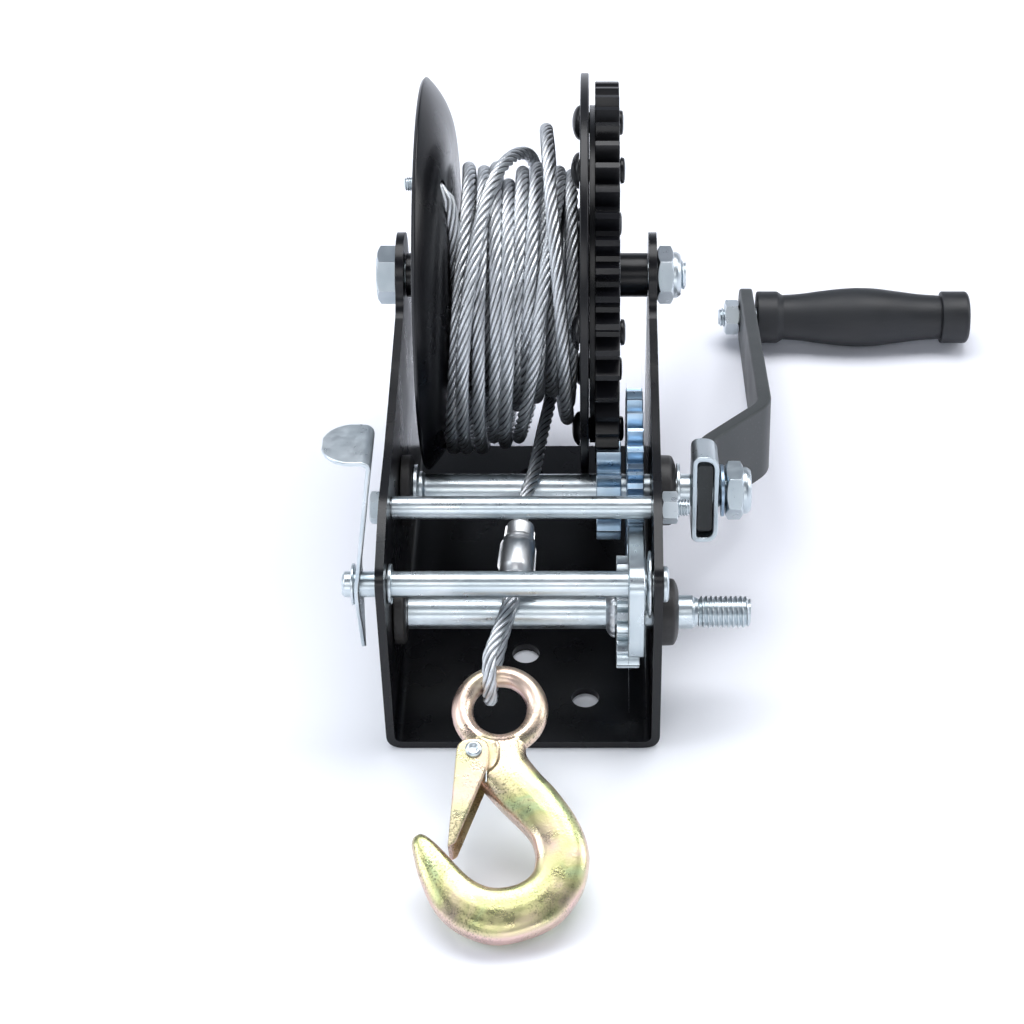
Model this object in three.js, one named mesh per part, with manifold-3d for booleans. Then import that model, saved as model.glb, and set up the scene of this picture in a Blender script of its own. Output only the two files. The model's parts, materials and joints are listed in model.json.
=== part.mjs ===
// A hand-cranked boat trailer winch: a bent steel frame, a geared cable drum, two drive shafts,
// a two-way ratchet and a steel wire rope with a slip hook.
// Millimetres. X runs along the shafts towards the crank, Y towards the rear, Z up.
// The origin is the centre of the underside of the base.
import * as THREE from 'three';
import { mergeVertices } from 'three/addons/utils/BufferGeometryUtils.js';
import Module from 'manifold-3d';

const wasm = await Module();
wasm.setup();

// ---- driving dimensions ----
const baseLength = 169;
const frameWidth = 97;
const sheet = 3;
const bendRadius = 6;
const gap = 0.3;
const boreSegments = 10;
const plateOuter = frameWidth / 2;
const plateInner = plateOuter - sheet;
const front = -baseLength / 2;

const pressureAngle = THREE.MathUtils.degToRad(25);
const flankPlay = 0.09;
const dedendum = 1.25;
const drumGearSize = { module: 3, teeth: 46, addendum: 0.85 };
const drumPinionSize = { module: 3, teeth: 10, addendum: 1 };
const reductionGearSize = { module: 2.5, teeth: 28, addendum: 1 };
const lowerPinionSize = { module: 2.5, teeth: 14, addendum: 1 };

// Shaft axes are (y, z) places. The gear centre distances set the two drive shafts.
const drumAxle = { y: front + 148.5, z: 101.3 };
const drumToUpperAngle = THREE.MathUtils.degToRad(215.1);
const upperToLowerAngle = THREE.MathUtils.degToRad(195.7);
const upperAxle = meshedAxle(drumAxle, drumGearSize, drumPinionSize, drumToUpperAngle);
const lowerAxle = meshedAxle(upperAxle, reductionGearSize, lowerPinionSize, upperToLowerAngle);
const tieAxle = { y: front + 42, z: 76.3 };
const pawlAxle = { y: front + 13.8, z: 65.7 };

const axleRadius = 6;
const shaftRadius = 6;
const journalRadius = 5;
const bushRadius = 8;
const sleeveRadius = 8.25;
const tieBoltRadius = 3;
const pawlShaftRadius = 4.5;
const hexM12 = 19;
const hexM6 = 10;

const flangeRadius = 73.5;
const rightFlangeRadius = 74.7;
const flangeFlat = 50;
const flangeSheet = 2.1;
const leftHubFace = -26.8;
const rightFlange = { from: 20.2, to: 23.2 };
const drumGearFaces = { from: 25.5, to: 34.3 };
const barrelRadius = 20;
const windingCoreRadius = 38;
// The outer turns hang slack: they are round, with their middle below and in front of the drum's axle.
const slackTurns = { radius: 54.5, thickness: 5, sag: 13, towards: THREE.MathUtils.degToRad(230) };
const rivetCircle = 58;
const rivetRadius = 4;
const rivetCount = 6;
const anchorRadius = 40;

const pinionFaces = { from: 26, to: 35 };
const reductionFaces = { from: 36.8, to: 42.8 };
const lowerPinionFaces = { from: 33, to: 41.3 };
const pawlFaces = { from: 36.9, to: 42.7 };

const crankLength = 171;
const crankBar = { width: 30, thickness: 5.4 };
const crankStart = 62.9;
const gripRadius = 12.6;
const gripSpan = { from: 94.9, to: 186 };
const crankDrop = Math.asin((gripRadius + 0.1 - upperAxle.z) / crankLength);

const ropeRadius = 2.5;
const hookTilt = THREE.MathUtils.degToRad(21);
const hookThickness = 12;
const hookLength = 82.7;
const eyeRadius = 12.8;
const eye = {
  x: -6.9,
  y: front - 17,
  z: hookLength * Math.sin(hookTilt) + (hookThickness / 2) * Math.cos(hookTilt) + 0.2,
};
const latchPivot = { x: -8.2, y: -17.5 };

const winch = new THREE.Group();
const crank = new THREE.Group();
crank.position.set(0, upperAxle.y, upperAxle.z);
crank.rotation.x = crankDrop;
const hookSet = new THREE.Group();
hookSet.position.set(eye.x, eye.y, eye.z);
hookSet.rotation.x = hookTilt;
winch.add(crank, hookSet);

// ---- materials ----
const finish = (color, roughness, metalness) => () =>
  new THREE.MeshStandardMaterial({ color, roughness, metalness });
const blackPaint = finish(0x17181b, 0.3, 0.2);
const crankPaint = finish(0x2b2d30, 0.55, 0.3);
const blackNylon = finish(0x26272b, 0.6, 0);
const gripRubber = finish(0x202124, 0.75, 0);
const zinc = finish(0xc9d2da, 0.3, 1);
const blueZinc = finish(0x7fa3bd, 0.35, 1);
const wireSteel = finish(0xa9adb0, 0.4, 1);
const aluminium = finish(0xd8dadc, 0.35, 1);
const yellowZinc = finish(0xc4ae6a, 0.35, 1);

// ---- helpers ----
function meshedAxle(axle, gear, mate, angle) {
  const distance = (gear.module * (gear.teeth + mate.teeth)) / 2;
  return { y: axle.y + distance * Math.cos(angle), z: axle.z + distance * Math.sin(angle) };
}

function add(name, geometry, material, parent = winch) {
  const mesh = new THREE.Mesh(geometry, material());
  mesh.name = name;
  parent.add(mesh);
  return mesh;
}

// Places a mesh whose own axis is X on a shaft axis.
function addOn(axle, name, geometry, material) {
  const mesh = add(name, geometry, material);
  mesh.position.set(0, axle.y, axle.z);
  return mesh;
}

function solid(geometry) {
  const bare = geometry.clone();
  bare.deleteAttribute('normal');
  bare.deleteAttribute('uv');
  const merged = mergeVertices(bare, 1e-4);
  return new wasm.Manifold(new wasm.Mesh({
    numProp: 3,
    vertProperties: new Float32Array(merged.attributes.position.array),
    triVerts: new Uint32Array(merged.index.array),
  }));
}

function geometryOf(body) {
  const mesh = body.getMesh();
  const geometry = new THREE.BufferGeometry();
  geometry.setAttribute('position', new THREE.BufferAttribute(mesh.vertProperties, 3));
  geometry.setIndex(new THREE.BufferAttribute(mesh.triVerts, 1));
  return geometry;
}

function cut(geometry, ...tools) {
  return geometryOf(tools.reduce((body, tool) => body.subtract(solid(tool)), solid(geometry)));
}

function join(geometry, ...others) {
  return geometryOf(others.reduce((body, other) => body.add(solid(other)), solid(geometry)));
}

// A closed outline from [x, y, cut] corners. A corner with a cut is rounded off over that length.
function outline(corners) {
  const shape = new THREE.Shape();
  const points = corners.map(([x, y]) => new THREE.Vector2(x, y));
  corners.forEach(([x, y, round = 0], index) => {
    const before = points[(index + points.length - 1) % points.length];
    const after = points[(index + 1) % points.length];
    const start = points[index].clone().addScaledVector(before.clone().sub(points[index]).normalize(), round);
    const end = points[index].clone().addScaledVector(after.clone().sub(points[index]).normalize(), round);
    if (index === 0) shape.moveTo(start.x, start.y);
    else shape.lineTo(start.x, start.y);
    if (round > 0) shape.quadraticCurveTo(x, y, end.x, end.y);
  });
  shape.closePath();
  return shape;
}

function disc(radius, x = 0, y = 0) {
  const shape = new THREE.Shape();
  shape.absarc(x, y, radius, 0, 2 * Math.PI, false);
  return shape;
}

function hexagon(acrossFlats) {
  const corner = acrossFlats / Math.sqrt(3);
  const shape = new THREE.Shape();
  for (let side = 0; side < 6; side += 1) {
    const angle = (side * Math.PI) / 3;
    shape[side === 0 ? 'moveTo' : 'lineTo'](corner * Math.cos(angle), corner * Math.sin(angle));
  }
  shape.closePath();
  return shape;
}

function withHole(shape, radius, x = 0, y = 0) {
  shape.holes.push(disc(radius, x, y));
  return shape;
}

function extrude(shape, depth, curveSegments) {
  return new THREE.ExtrudeGeometry(shape, { depth, curveSegments, bevelEnabled: false });
}

// An outline drawn in (y, z), made solid between two places along X.
function acrossX(shape, from, to, curveSegments = 5) {
  const toAxes = new THREE.Matrix4().makeBasis(
    new THREE.Vector3(0, 1, 0), new THREE.Vector3(0, 0, 1), new THREE.Vector3(1, 0, 0));
  return extrude(shape, to - from, curveSegments).applyMatrix4(toAxes).translate(from, 0, 0);
}

// An outline drawn in (x, z), made solid between two places along Y.
function alongY(shape, from, to, curveSegments = 4) {
  return extrude(shape, to - from, curveSegments).rotateX(Math.PI / 2).translate(0, to, 0);
}

// An outline drawn in (x, y), made solid between two heights.
function upZ(shape, from, to, curveSegments = 5) {
  return extrude(shape, to - from, curveSegments).translate(0, 0, from);
}

// A turned piece about X from its [x, radius] profile, listed with X rising along the outside.
function turned(profile, segments = 18) {
  const points = profile.map(([x, radius]) => new THREE.Vector2(radius, x));
  return new THREE.LatheGeometry(points, segments).rotateZ(-Math.PI / 2);
}

function ring(from, to, inner, outer, segments = 18) {
  return turned([[from, inner], [from, outer], [to, outer], [to, inner], [from, inner]], segments);
}

function rod(from, to, radius, segments = 16) {
  return turned([[from, 0], [from, radius], [to, radius], [to, 0]], segments);
}

function wire(points, radius, steps, sides = 8) {
  const path = new THREE.CatmullRomCurve3(points.map((point) => new THREE.Vector3(...point)), false, 'centripetal');
  const section = new THREE.Shape();
  for (let side = 0; side < sides; side += 1) {
    const angle = (2 * Math.PI * side) / sides;
    section[side === 0 ? 'moveTo' : 'lineTo'](radius * Math.cos(angle), radius * Math.sin(angle));
  }
  section.closePath();
  return new THREE.ExtrudeGeometry(section, { steps, extrudePath: path, bevelEnabled: false });
}

const polar = (radius, angle) => new THREE.Vector2(radius * Math.cos(angle), radius * Math.sin(angle));

// A spur gear with involute flanks, one tooth centred on the phase angle.
function gearOutline({ module, teeth, addendum }, phase, bore) {
  const pitch = (module * teeth) / 2;
  const baseRadius = pitch * Math.cos(pressureAngle);
  const tip = pitch + addendum * module;
  const root = pitch - dedendum * module;
  const involute = (angle) => Math.tan(angle) - angle;
  const halfAngle = (radius) => Math.PI / (2 * teeth) - flankPlay / pitch + involute(pressureAngle)
    - involute(Math.acos(Math.min(1, baseRadius / radius)));
  const flankSteps = 2;
  const flankStart = Math.max(root, baseRadius);
  const radii = root < baseRadius ? [root] : [];
  for (let step = 0; step <= flankSteps; step += 1) {
    radii.push(flankStart + ((tip - flankStart) * step) / flankSteps);
  }
  const points = [];
  for (let tooth = 0; tooth < teeth; tooth += 1) {
    const centre = phase + (2 * Math.PI * tooth) / teeth;
    const place = (radius, side) => polar(radius, centre + side * halfAngle(radius));
    radii.forEach((radius) => points.push(place(radius, -1)));
    radii.toReversed().forEach((radius) => points.push(place(radius, 1)));
  }
  return withHole(new THREE.Shape(points), bore);
}

// Turns a mating gear so that a gap faces the tooth it meets.
const gapPhase = (angle, teeth) => angle + Math.PI + Math.PI / teeth;

// ---- frame and fixed pieces ----
function makeFrame() {
  const top = 130;
  const channel = outline([
    [-plateOuter, 0, bendRadius], [plateOuter, 0, bendRadius], [plateOuter, top], [plateInner, top],
    [plateInner, sheet, bendRadius - sheet], [-plateInner, sheet, bendRadius - sheet],
    [-plateInner, top], [-plateOuter, top],
  ]);
  const lugRadius = 16;
  const side = new THREE.Shape();
  side.moveTo(front, 0);
  side.lineTo(front, 74);
  side.quadraticCurveTo(front, 79, front + 6, 81.5);
  side.lineTo(front + 24, 87.5);
  side.quadraticCurveTo(front + 29, 89, front + 36, 89);
  side.lineTo(front + 58, 89);
  side.lineTo(front + 96, 93);
  side.lineTo(front + 126, 97);
  side.quadraticCurveTo(front + 131.5, 98.5, front + 133.8, 107.3);
  side.absarc(drumAxle.y, drumAxle.z, lugRadius, Math.PI - 0.38, -0.1, true);
  side.lineTo(front + 166, 55);
  side.quadraticCurveTo(-front, 40, -front, 25);
  side.lineTo(-front, 0);
  side.closePath();
  const plates = solid(acrossX(side, -plateOuter - 1, plateOuter + 1));
  const body = geometryOf(solid(alongY(channel, front, -front)).intersect(plates));
  const reach = plateOuter + 2;
  const bore = (axle, radius) => acrossX(disc(radius, axle.y, axle.z), -reach, reach, 10);
  const baseHole = (x, fromFront) => upZ(disc(5, x, front + fromFront), -1, sheet + 1, 10);
  return cut(
    body, bore(drumAxle, axleRadius + gap), bore(upperAxle, bushRadius + gap),
    bore(lowerAxle, bushRadius + gap), bore(tieAxle, tieBoltRadius + gap),
    bore(pawlAxle, pawlShaftRadius + gap),
    baseHole(22, 22.5), baseHole(0, 45.6), baseHole(0, 150),
  );
}

function hexHead(acrossFlats, from, to, bore = 0) {
  const shape = hexagon(acrossFlats);
  return acrossX(bore > 0 ? withHole(shape, bore) : shape, from, to, boreSegments);
}

function addFixedPieces() {
  add('frame', makeFrame(), blackPaint);

  const plateClear = plateOuter + gap;
  const drumBolt = join(
    rod(-plateClear - 0.5, plateOuter + 11, axleRadius), hexHead(hexM12, -plateClear - 7.2, -plateClear));
  addOn(drumAxle, 'drum_axle_bolt', drumBolt, zinc);
  addOn(drumAxle, 'drum_axle_nut', hexHead(hexM12, plateClear, plateClear + 9, axleRadius + gap), zinc);
  const sleeve = ring(-plateInner + gap, plateInner - gap, axleRadius + gap, sleeveRadius);
  addOn(drumAxle, 'drum_axle_sleeve', sleeve, blackPaint);

  const innerFlange = (radius) => bush(-plateOuter, -plateInner + gap, -41, radius, journalRadius + gap);
  addOn(upperAxle, 'upper_bush_left', innerFlange(13), blackNylon);
  addOn(lowerAxle, 'lower_bush_left', innerFlange(11.5), blackNylon);
  const outerFlange = (radius) => bush(plateInner, plateClear, 55, radius, shaftRadius + gap);
  addOn(upperAxle, 'upper_bush_right', outerFlange(13), blackNylon);
  addOn(lowerAxle, 'lower_bush_right', outerFlange(12), blackNylon);

  const tieBolt = join(
    rod(-plateClear - 0.5, 58.6, tieBoltRadius), hexHead(hexM6, -plateClear - 4, -plateClear));
  addOn(tieAxle, 'tie_bolt', tieBolt, zinc);
  addOn(tieAxle, 'tie_nut', hexHead(hexM6, plateClear, plateClear + 5.6, tieBoltRadius + gap), zinc);
  addOn(tieAxle, 'tie_tube', ring(-plateInner + gap, plateInner - gap, tieBoltRadius + gap, 4), zinc);
}

// A flanged bush: its body fills the plate's hole from one end and the flange stands off to the other.
function bush(bodyEnd, flangeFace, flangeEnd, flangeRadiusHere, bore) {
  const profile = [
    [bodyEnd, bore], [bodyEnd, bushRadius], [flangeFace, bushRadius], [flangeFace, flangeRadiusHere],
    [flangeEnd, flangeRadiusHere - 0.8], [flangeEnd, bore], [bodyEnd, bore],
  ];
  return turned(profile);
}

// ---- drum ----
function leftFlange() {
  // The disc is flat to flangeFlat, then curls outwards over an arc to the rim.
  const arcRadius = 32.2;
  const arcSteps = 5;
  const arcEnd = Math.asin((flangeRadius - flangeFlat) / arcRadius);
  const curl = (radius) => Array.from({ length: arcSteps + 1 }, (_, step) => {
    const angle = (arcEnd * step) / arcSteps;
    return [leftHubFace - arcRadius + radius * Math.cos(angle), flangeFlat + radius * Math.sin(angle)];
  });
  const bore = sleeveRadius + gap;
  const outerFace = curl(arcRadius - flangeSheet);
  const innerFace = curl(arcRadius).toReversed();
  const profile = [[leftHubFace - flangeSheet, bore], ...outerFace, ...innerFace, [leftHubFace, bore]];
  return turned([...profile, profile[0]], 42);
}

const rivetPlaces = Array.from({ length: rivetCount }, (_, index) => {
  const angle = Math.PI / 2 + 0.28 + (2 * Math.PI * index) / rivetCount;
  return polar(rivetCircle, angle);
});

function cutRivetHoles(geometry) {
  const holes = rivetPlaces.map(({ x, y }) => rod(10, 50, rivetRadius + gap, 14).translate(0, x, y));
  return cut(geometry, ...holes);
}

function drumGear() {
  const bore = sleeveRadius + gap;
  const bossRadius = 63;
  const outlineHere = gearOutline(drumGearSize, drumToUpperAngle, bore);
  const teeth = acrossX(outlineHere, drumGearFaces.from, drumGearFaces.to, boreSegments);
  const boss = ring(rightFlange.to + gap, drumGearFaces.from + 1, bore, bossRadius, 36);
  return cutRivetHoles(join(teeth, boss));
}

function rivet() {
  const head = { face: rightFlange.from - gap, rise: 3, radius: 6.5 };
  const end = drumGearFaces.to + gap;
  return turned([
    [head.face - head.rise, 0], [head.face - head.rise + 0.3, 2.8], [head.face - 1.6, 5.5],
    [head.face, head.radius], [head.face, rivetRadius], [end, rivetRadius], [end, 4.6],
    [end + 1.2, 4.3], [end + 1.7, 3], [end + 1.7, 0],
  ], 12);
}

// The tight inner turns, and round them the slack ones, which touch them only at the top.
function windingSolid() {
  const left = leftHubFace + gap;
  const right = rightFlange.from - gap;
  const clearOfRivets = right - 3.4;
  const core = rod(left, right, windingCoreRadius, 32);
  const { radius, thickness, sag, towards } = slackTurns;
  const outside = [
    [left, radius - 6], [left + 4, radius - 1.5], [left + 10, radius], [clearOfRivets - 9, radius],
    [clearOfRivets - 3.5, radius - 3], [clearOfRivets, radius - 8],
  ];
  const inside = outside.map(([x, reach]) => [x, reach - thickness]).reverse();
  const slack = turned([...outside, ...inside, outside[0]], 32)
    .translate(0, sag * Math.cos(towards), sag * Math.sin(towards));
  return cut(join(core, slack), rod(left - 1, right + 1, barrelRadius + gap, 18));
}

function addDrum() {
  const anchor = new THREE.Vector2(0, anchorRadius);
  const studRadius = 2.5;
  const leftHole = rod(leftHubFace - flangeSheet - 1, leftHubFace + 1, studRadius + gap, 16)
    .translate(0, anchor.x, anchor.y);
  addOn(drumAxle, 'drum_flange_left', cut(leftFlange(), leftHole), blackPaint);

  const rightDisc = ring(rightFlange.from, rightFlange.to, sleeveRadius + gap, rightFlangeRadius, 48);
  addOn(drumAxle, 'drum_flange_right', cutRivetHoles(rightDisc), blackPaint);
  const barrel = ring(leftHubFace + gap, rightFlange.from - gap, barrelRadius - 2, barrelRadius);
  addOn(drumAxle, 'drum_barrel', barrel, blackPaint);
  addOn(drumAxle, 'drum_gear', drumGear(), blackPaint);
  rivetPlaces.forEach(({ x, y }, index) => {
    const mesh = addOn(drumAxle, `drum_rivet_${index + 1}`, rivet(), blackPaint);
    mesh.position.y += x;
    mesh.position.z += y;
  });

  const anchorAxis = { y: drumAxle.y + anchor.x, z: drumAxle.z + anchor.y };
  const hubBack = leftHubFace - flangeSheet;
  addOn(anchorAxis, 'rope_anchor_bolt', rod(-44, leftHubFace - 0.1, studRadius, 16), zinc);
  addOn(anchorAxis, 'rope_anchor_nut', hexHead(8, hubBack - gap - 4, hubBack - gap, studRadius + gap), zinc);
  addOn(drumAxle, 'rope_winding', windingSolid(), wireSteel);
}

// ---- upper drive shaft and crank ----
function addUpperShaft() {
  const shaft = turned([
    [-plateOuter - 0.4, 0], [-plateOuter - 0.4, journalRadius], [-39, journalRadius], [-39, 7],
    [-37.4, 7], [-36.6, shaftRadius], [60.3, shaftRadius], [60.8, 5.7], [81.6, 5.7], [82, 5.2], [82, 0],
  ]);
  addOn(upperAxle, 'upper_shaft', shaft, zinc);
  const bore = shaftRadius + gap;
  const pinion = gearOutline(drumPinionSize, gapPhase(drumToUpperAngle, drumPinionSize.teeth), bore);
  addOn(upperAxle, 'drum_pinion', acrossX(pinion, pinionFaces.from, pinionFaces.to, boreSegments), blueZinc);
  const reduction = gearOutline(reductionGearSize, upperToLowerAngle, bore);
  addOn(upperAxle, 'reduction_gear', acrossX(reduction, reductionFaces.from, reductionFaces.to, boreSegments), blueZinc);
  addOn(upperAxle, 'upper_washer_left', ring(-40.7, -39.3, journalRadius + gap, 9.5), zinc);
  addOn(upperAxle, 'upper_washer_right', ring(55.3, 56.5, bore, 10), zinc);
  addOn(upperAxle, 'crank_spring_washer', ring(71.3, 73, axleRadius, 9.6), zinc);
  addOn(upperAxle, 'crank_nut', hexHead(hexM12, 73.3, 82.6, axleRadius), zinc);
}

function addCrank() {
  const wall = 1.9;
  const length = 17;
  const inside = { x: crankBar.thickness + 2 * gap, z: crankBar.width + 2 * gap };
  const left = crankStart - gap;
  const loop = outline([
    [left - wall, -inside.z / 2 - wall, 2], [left + inside.x + wall, -inside.z / 2 - wall, 5],
    [left + inside.x + wall, inside.z / 2 + wall, 5], [left - wall, inside.z / 2 + wall, 2],
  ]);
  loop.holes.push(outline([
    [left, -inside.z / 2, 0.5], [left, inside.z / 2, 0.5],
    [left + inside.x, inside.z / 2, 0.8], [left + inside.x, -inside.z / 2, 0.8],
  ]));
  const shaftHole = rod(50, 90, axleRadius);
  const sleeve = cut(alongY(loop, -length / 2, length / 2), shaftHole);
  add('crank_sleeve', sleeve, zinc, crank);
  add('crank_arm', crankArm(), crankPaint, crank);

  const gripAxis = { y: crankLength };
  const boltRadius = 4;
  const armOuter = crankBarEnd() + crankBar.thickness;
  const head = { from: gripSpan.to - 8, to: gripSpan.to - 2.5 };
  const bolt = join(rod(78.6, head.from + 0.5, boltRadius), hexHead(10.5, head.from, head.to));
  const boltMesh = add('grip_bolt', bolt, zinc, crank);
  const nut = hexHead(13, armOuter - crankBar.thickness - gap - 6.2, armOuter - crankBar.thickness - gap, boltRadius + gap);
  const nutMesh = add('grip_nut', nut, zinc, crank);
  const gripMesh = add('crank_grip', grip(boltRadius + gap), gripRubber, crank);
  [boltMesh, nutMesh, gripMesh].forEach((mesh) => mesh.position.setY(gripAxis.y));
}

function crankArm() {
  const { width, thickness } = crankBar;
  const bend = { from: 12, to: 47.5 };
  const endHalf = 12.2;
  const end = crankLength + 12.5;
  const start = -7;
  const outer = crankBarEnd();
  const slope = Math.atan2(outer - crankStart, bend.to - bend.from);
  const shift = thickness * Math.tan(slope / 2);
  const bar = outline([
    [crankStart, start], [crankStart + thickness, start], [crankStart + thickness, bend.from - shift, 4],
    [outer + thickness, bend.to - shift, 6], [outer + thickness, end], [outer, end],
    [outer, bend.to, 4], [crankStart, bend.from, 6],
  ]);
  const face = outline([
    [start, -width / 2, 2], [60, -width / 2], [end - 20, -endHalf], [end, -endHalf, 12],
    [end, endHalf, 12], [end - 20, endHalf], [60, width / 2], [start, width / 2, 2],
  ]);
  const body = solid(upZ(bar, -width / 2, width / 2)).intersect(solid(acrossX(face, 50, 110)));
  const gripHole = rod(50, 110, 4 + gap).translate(0, crankLength, 0);
  return cut(geometryOf(body), rod(50, 110, axleRadius), gripHole);
}

function crankBarEnd() {
  return crankStart + 24.8;
}

// The grip swells in the middle between a collar at each end. Its bolt's head sits in the outer end.
function grip(bore) {
  const { from, to } = gripSpan;
  const collar = 11.1;
  const recess = { radius: 7.5, depth: 8.3 };
  return turned([
    [from, bore], [from, collar - 0.5], [from + 0.6, collar], [from + 8.6, collar], [from + 10.8, 9.6],
    [from + 22, 10.6], [from + 33, 11.9], [from + 44, gripRadius], [from + 54, 11.9], [from + 66, 10.4],
    [to - 12.4, 9.4], [to - 12.2, collar - 0.4], [to - 11.4, collar], [to - 1.6, collar], [to, collar - 1.2],
    [to, recess.radius], [to - recess.depth, recess.radius], [to - recess.depth, bore], [from, bore],
  ], 20);
}

// ---- lower drive shaft ----
function addLowerShaft() {
  const shoulder = -41 + gap;
  const weld = lowerPinionFaces.from - gap;
  const shaft = turned([
    [-plateOuter - 0.4, 0], [-plateOuter - 0.4, journalRadius], [shoulder, journalRadius],
    [shoulder, shaftRadius], [weld - 3.2, shaftRadius], [weld - 2.2, 8.2], [weld - 0.8, 9.3], [weld, 9],
    [weld, shaftRadius], [60, shaftRadius], [60, 5.2], [79.4, 5.2], [80.5, 4.4], [80.5, 0],
  ]);
  addOn(lowerAxle, 'lower_shaft', shaft, zinc);
  const pinion = gearOutline(
    lowerPinionSize, gapPhase(upperToLowerAngle, lowerPinionSize.teeth), shaftRadius + gap);
  addOn(lowerAxle, 'lower_pinion', acrossX(pinion, lowerPinionFaces.from, lowerPinionFaces.to, boreSegments), zinc);
}

// ---- ratchet ----
function addRatchet() {
  const bore = pawlShaftRadius + gap;
  const headFace = plateOuter + gap;
  const shaft = turned([
    [-61, 0], [-61, 3.7], [-60.2, pawlShaftRadius], [headFace, pawlShaftRadius], [headFace, 6.2],
    [headFace + 1.4, 6.2], [headFace + 2, 5.4], [headFace + 2, 0],
  ]);
  addOn(pawlAxle, 'pawl_shaft', shaft, zinc);

  // A two-armed pawl: one arm reaches back over the reduction gear's teeth, the other down to the pinion's.
  const arms = outline([
    [-2, 7.6, 3], [14, 5.6, 6], [27.2, 3.6, 2], [29.4, 1.2, 1], [26.8, -2.6, 2], [12, -4.6, 5], [2.5, -7.5, 5],
    [-4.2, -12.5, 4], [-6.4, -22.5, 3], [-6.2, -27, 0.8], [-8.4, -27, 1.2], [-10, -20.5, 5], [-9.4, -10, 5],
    [-7.6, 4, 3],
  ]);
  addOn(pawlAxle, 'pawl', acrossX(withHole(arms, bore), pawlFaces.from, pawlFaces.to, 5), zinc);
  const waveWasher = turned([
    [43.1, bore], [43.1, 8], [43.8, 11.5], [44.6, 11.5], [plateInner - gap, 8], [plateInner - gap, bore],
    [43.1, bore],
  ]);
  addOn(pawlAxle, 'pawl_wave_washer', waveWasher, zinc);
  addOn(pawlAxle, 'pawl_ring', ring(-plateInner + gap, -plateInner + 1.5, bore, 7), zinc);
  addOn(pawlAxle, 'lever_push_washer', ring(-57.9, -56.8, bore, 7.2), zinc);
  addOn(pawlAxle, 'ratchet_lever', ratchetLever(bore), zinc);
}

// The lever stands upright. Its strip leans in towards the frame above the pivot and ends in a thumb tab.
function ratchetLever(bore) {
  const thick = 2.2;
  const pivotFace = -56.5;
  const topFace = -48.6;
  const tabEnd = -63.6;
  const height = 61.5;
  const tail = -28.5;
  const strip = outline([
    [pivotFace, tail], [pivotFace, 4, 3], [topFace - 0.3, height - thick, 1.2], [tabEnd, height - thick],
    [tabEnd, height], [topFace + thick - 0.2, height, 3.2], [pivotFace + thick, 4, 3], [pivotFace + thick, tail],
  ]);
  const face = outline([
    [1, tail, 0.8], [8.5, -3, 7], [6, 26, 8], [10.5, height + 1], [-10.5, height + 1], [-6, 26, 8],
    [-8.5, -3, 7], [-1, tail, 0.8],
  ]);
  const tab = outline([[tabEnd, -10.5, 9.8], [-40, -11], [-40, 11], [tabEnd, 10.5, 9.8]]);
  const body = solid(alongY(strip, -12, 12))
    .intersect(solid(acrossX(face, -75, -40)))
    .intersect(solid(upZ(tab, tail - 1, height + 1)));
  return cut(geometryOf(body), rod(-75, -40, bore));
}

// ---- rope end ----
// The ferrule grips the rope and its returning end. The loop leaves it, goes over the hook's eye and comes back.
const ferruleCentre = new THREE.Vector3(-1.7, front + 39.4, 58.2);
const ferruleAxis = new THREE.Vector3(-0.073, -0.956, -0.285).normalize();
const ferruleHalf = 11;

function addRope() {
  const alongRope = (distance, rise = 0) => {
    const up = new THREE.Vector3(0, -0.285, 0.956);
    return ferruleCentre.clone().addScaledVector(ferruleAxis, distance).addScaledVector(up, rise).toArray();
  };
  const end = ferruleHalf + gap;
  const tail = [
    [4.6, front + 92.5, 60.7], [3.4, front + 79.8, 62.1], [1.2, front + 66, 63.5],
    alongRope(-end - 6), alongRope(-end),
  ];
  add('rope_tail', wire(tail, ropeRadius, 9), wireSteel);

  const spread = 2.75;
  const loop = [
    alongRope(end, spread), alongRope(end + 5, spread), [-5.6, front + 11, 53.3], [-8.6, front + 0.5, 51.8],
    [-10.4, front - 6.3, 50.1], [-10.4, front - 11.4, 45.7], [-10.4, front - 12, 37.2],
    [-10.4, front - 6.8, 31.7], [-10.2, front + 0.9, 31.5], [-7.2, front + 12.5, 40.5],
    alongRope(end + 5, -spread), alongRope(end, -spread),
  ];
  add('rope_loop', wire(loop, ropeRadius, 40), wireSteel);

  const ferrule = turned([
    [-ferruleHalf, 0], [-ferruleHalf, 4.5], [-ferruleHalf + 0.8, 5], [-4.6, 5], [-3.6, 6.3], [9, 6.5],
    [ferruleHalf, 5.4], [ferruleHalf, 0],
  ]);
  const mesh = add('ferrule', ferrule, aluminium);
  mesh.position.copy(ferruleCentre);
  mesh.quaternion.setFromUnitVectors(new THREE.Vector3(1, 0, 0), ferruleAxis);
}

// ---- hook ----
// The hook's own X and Y lie in its plane with the eye at the origin, and Z is its thickness.
const bowl = { x: 1.5, y: -53, outer: 29.5, inner: 11.4 };

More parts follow.
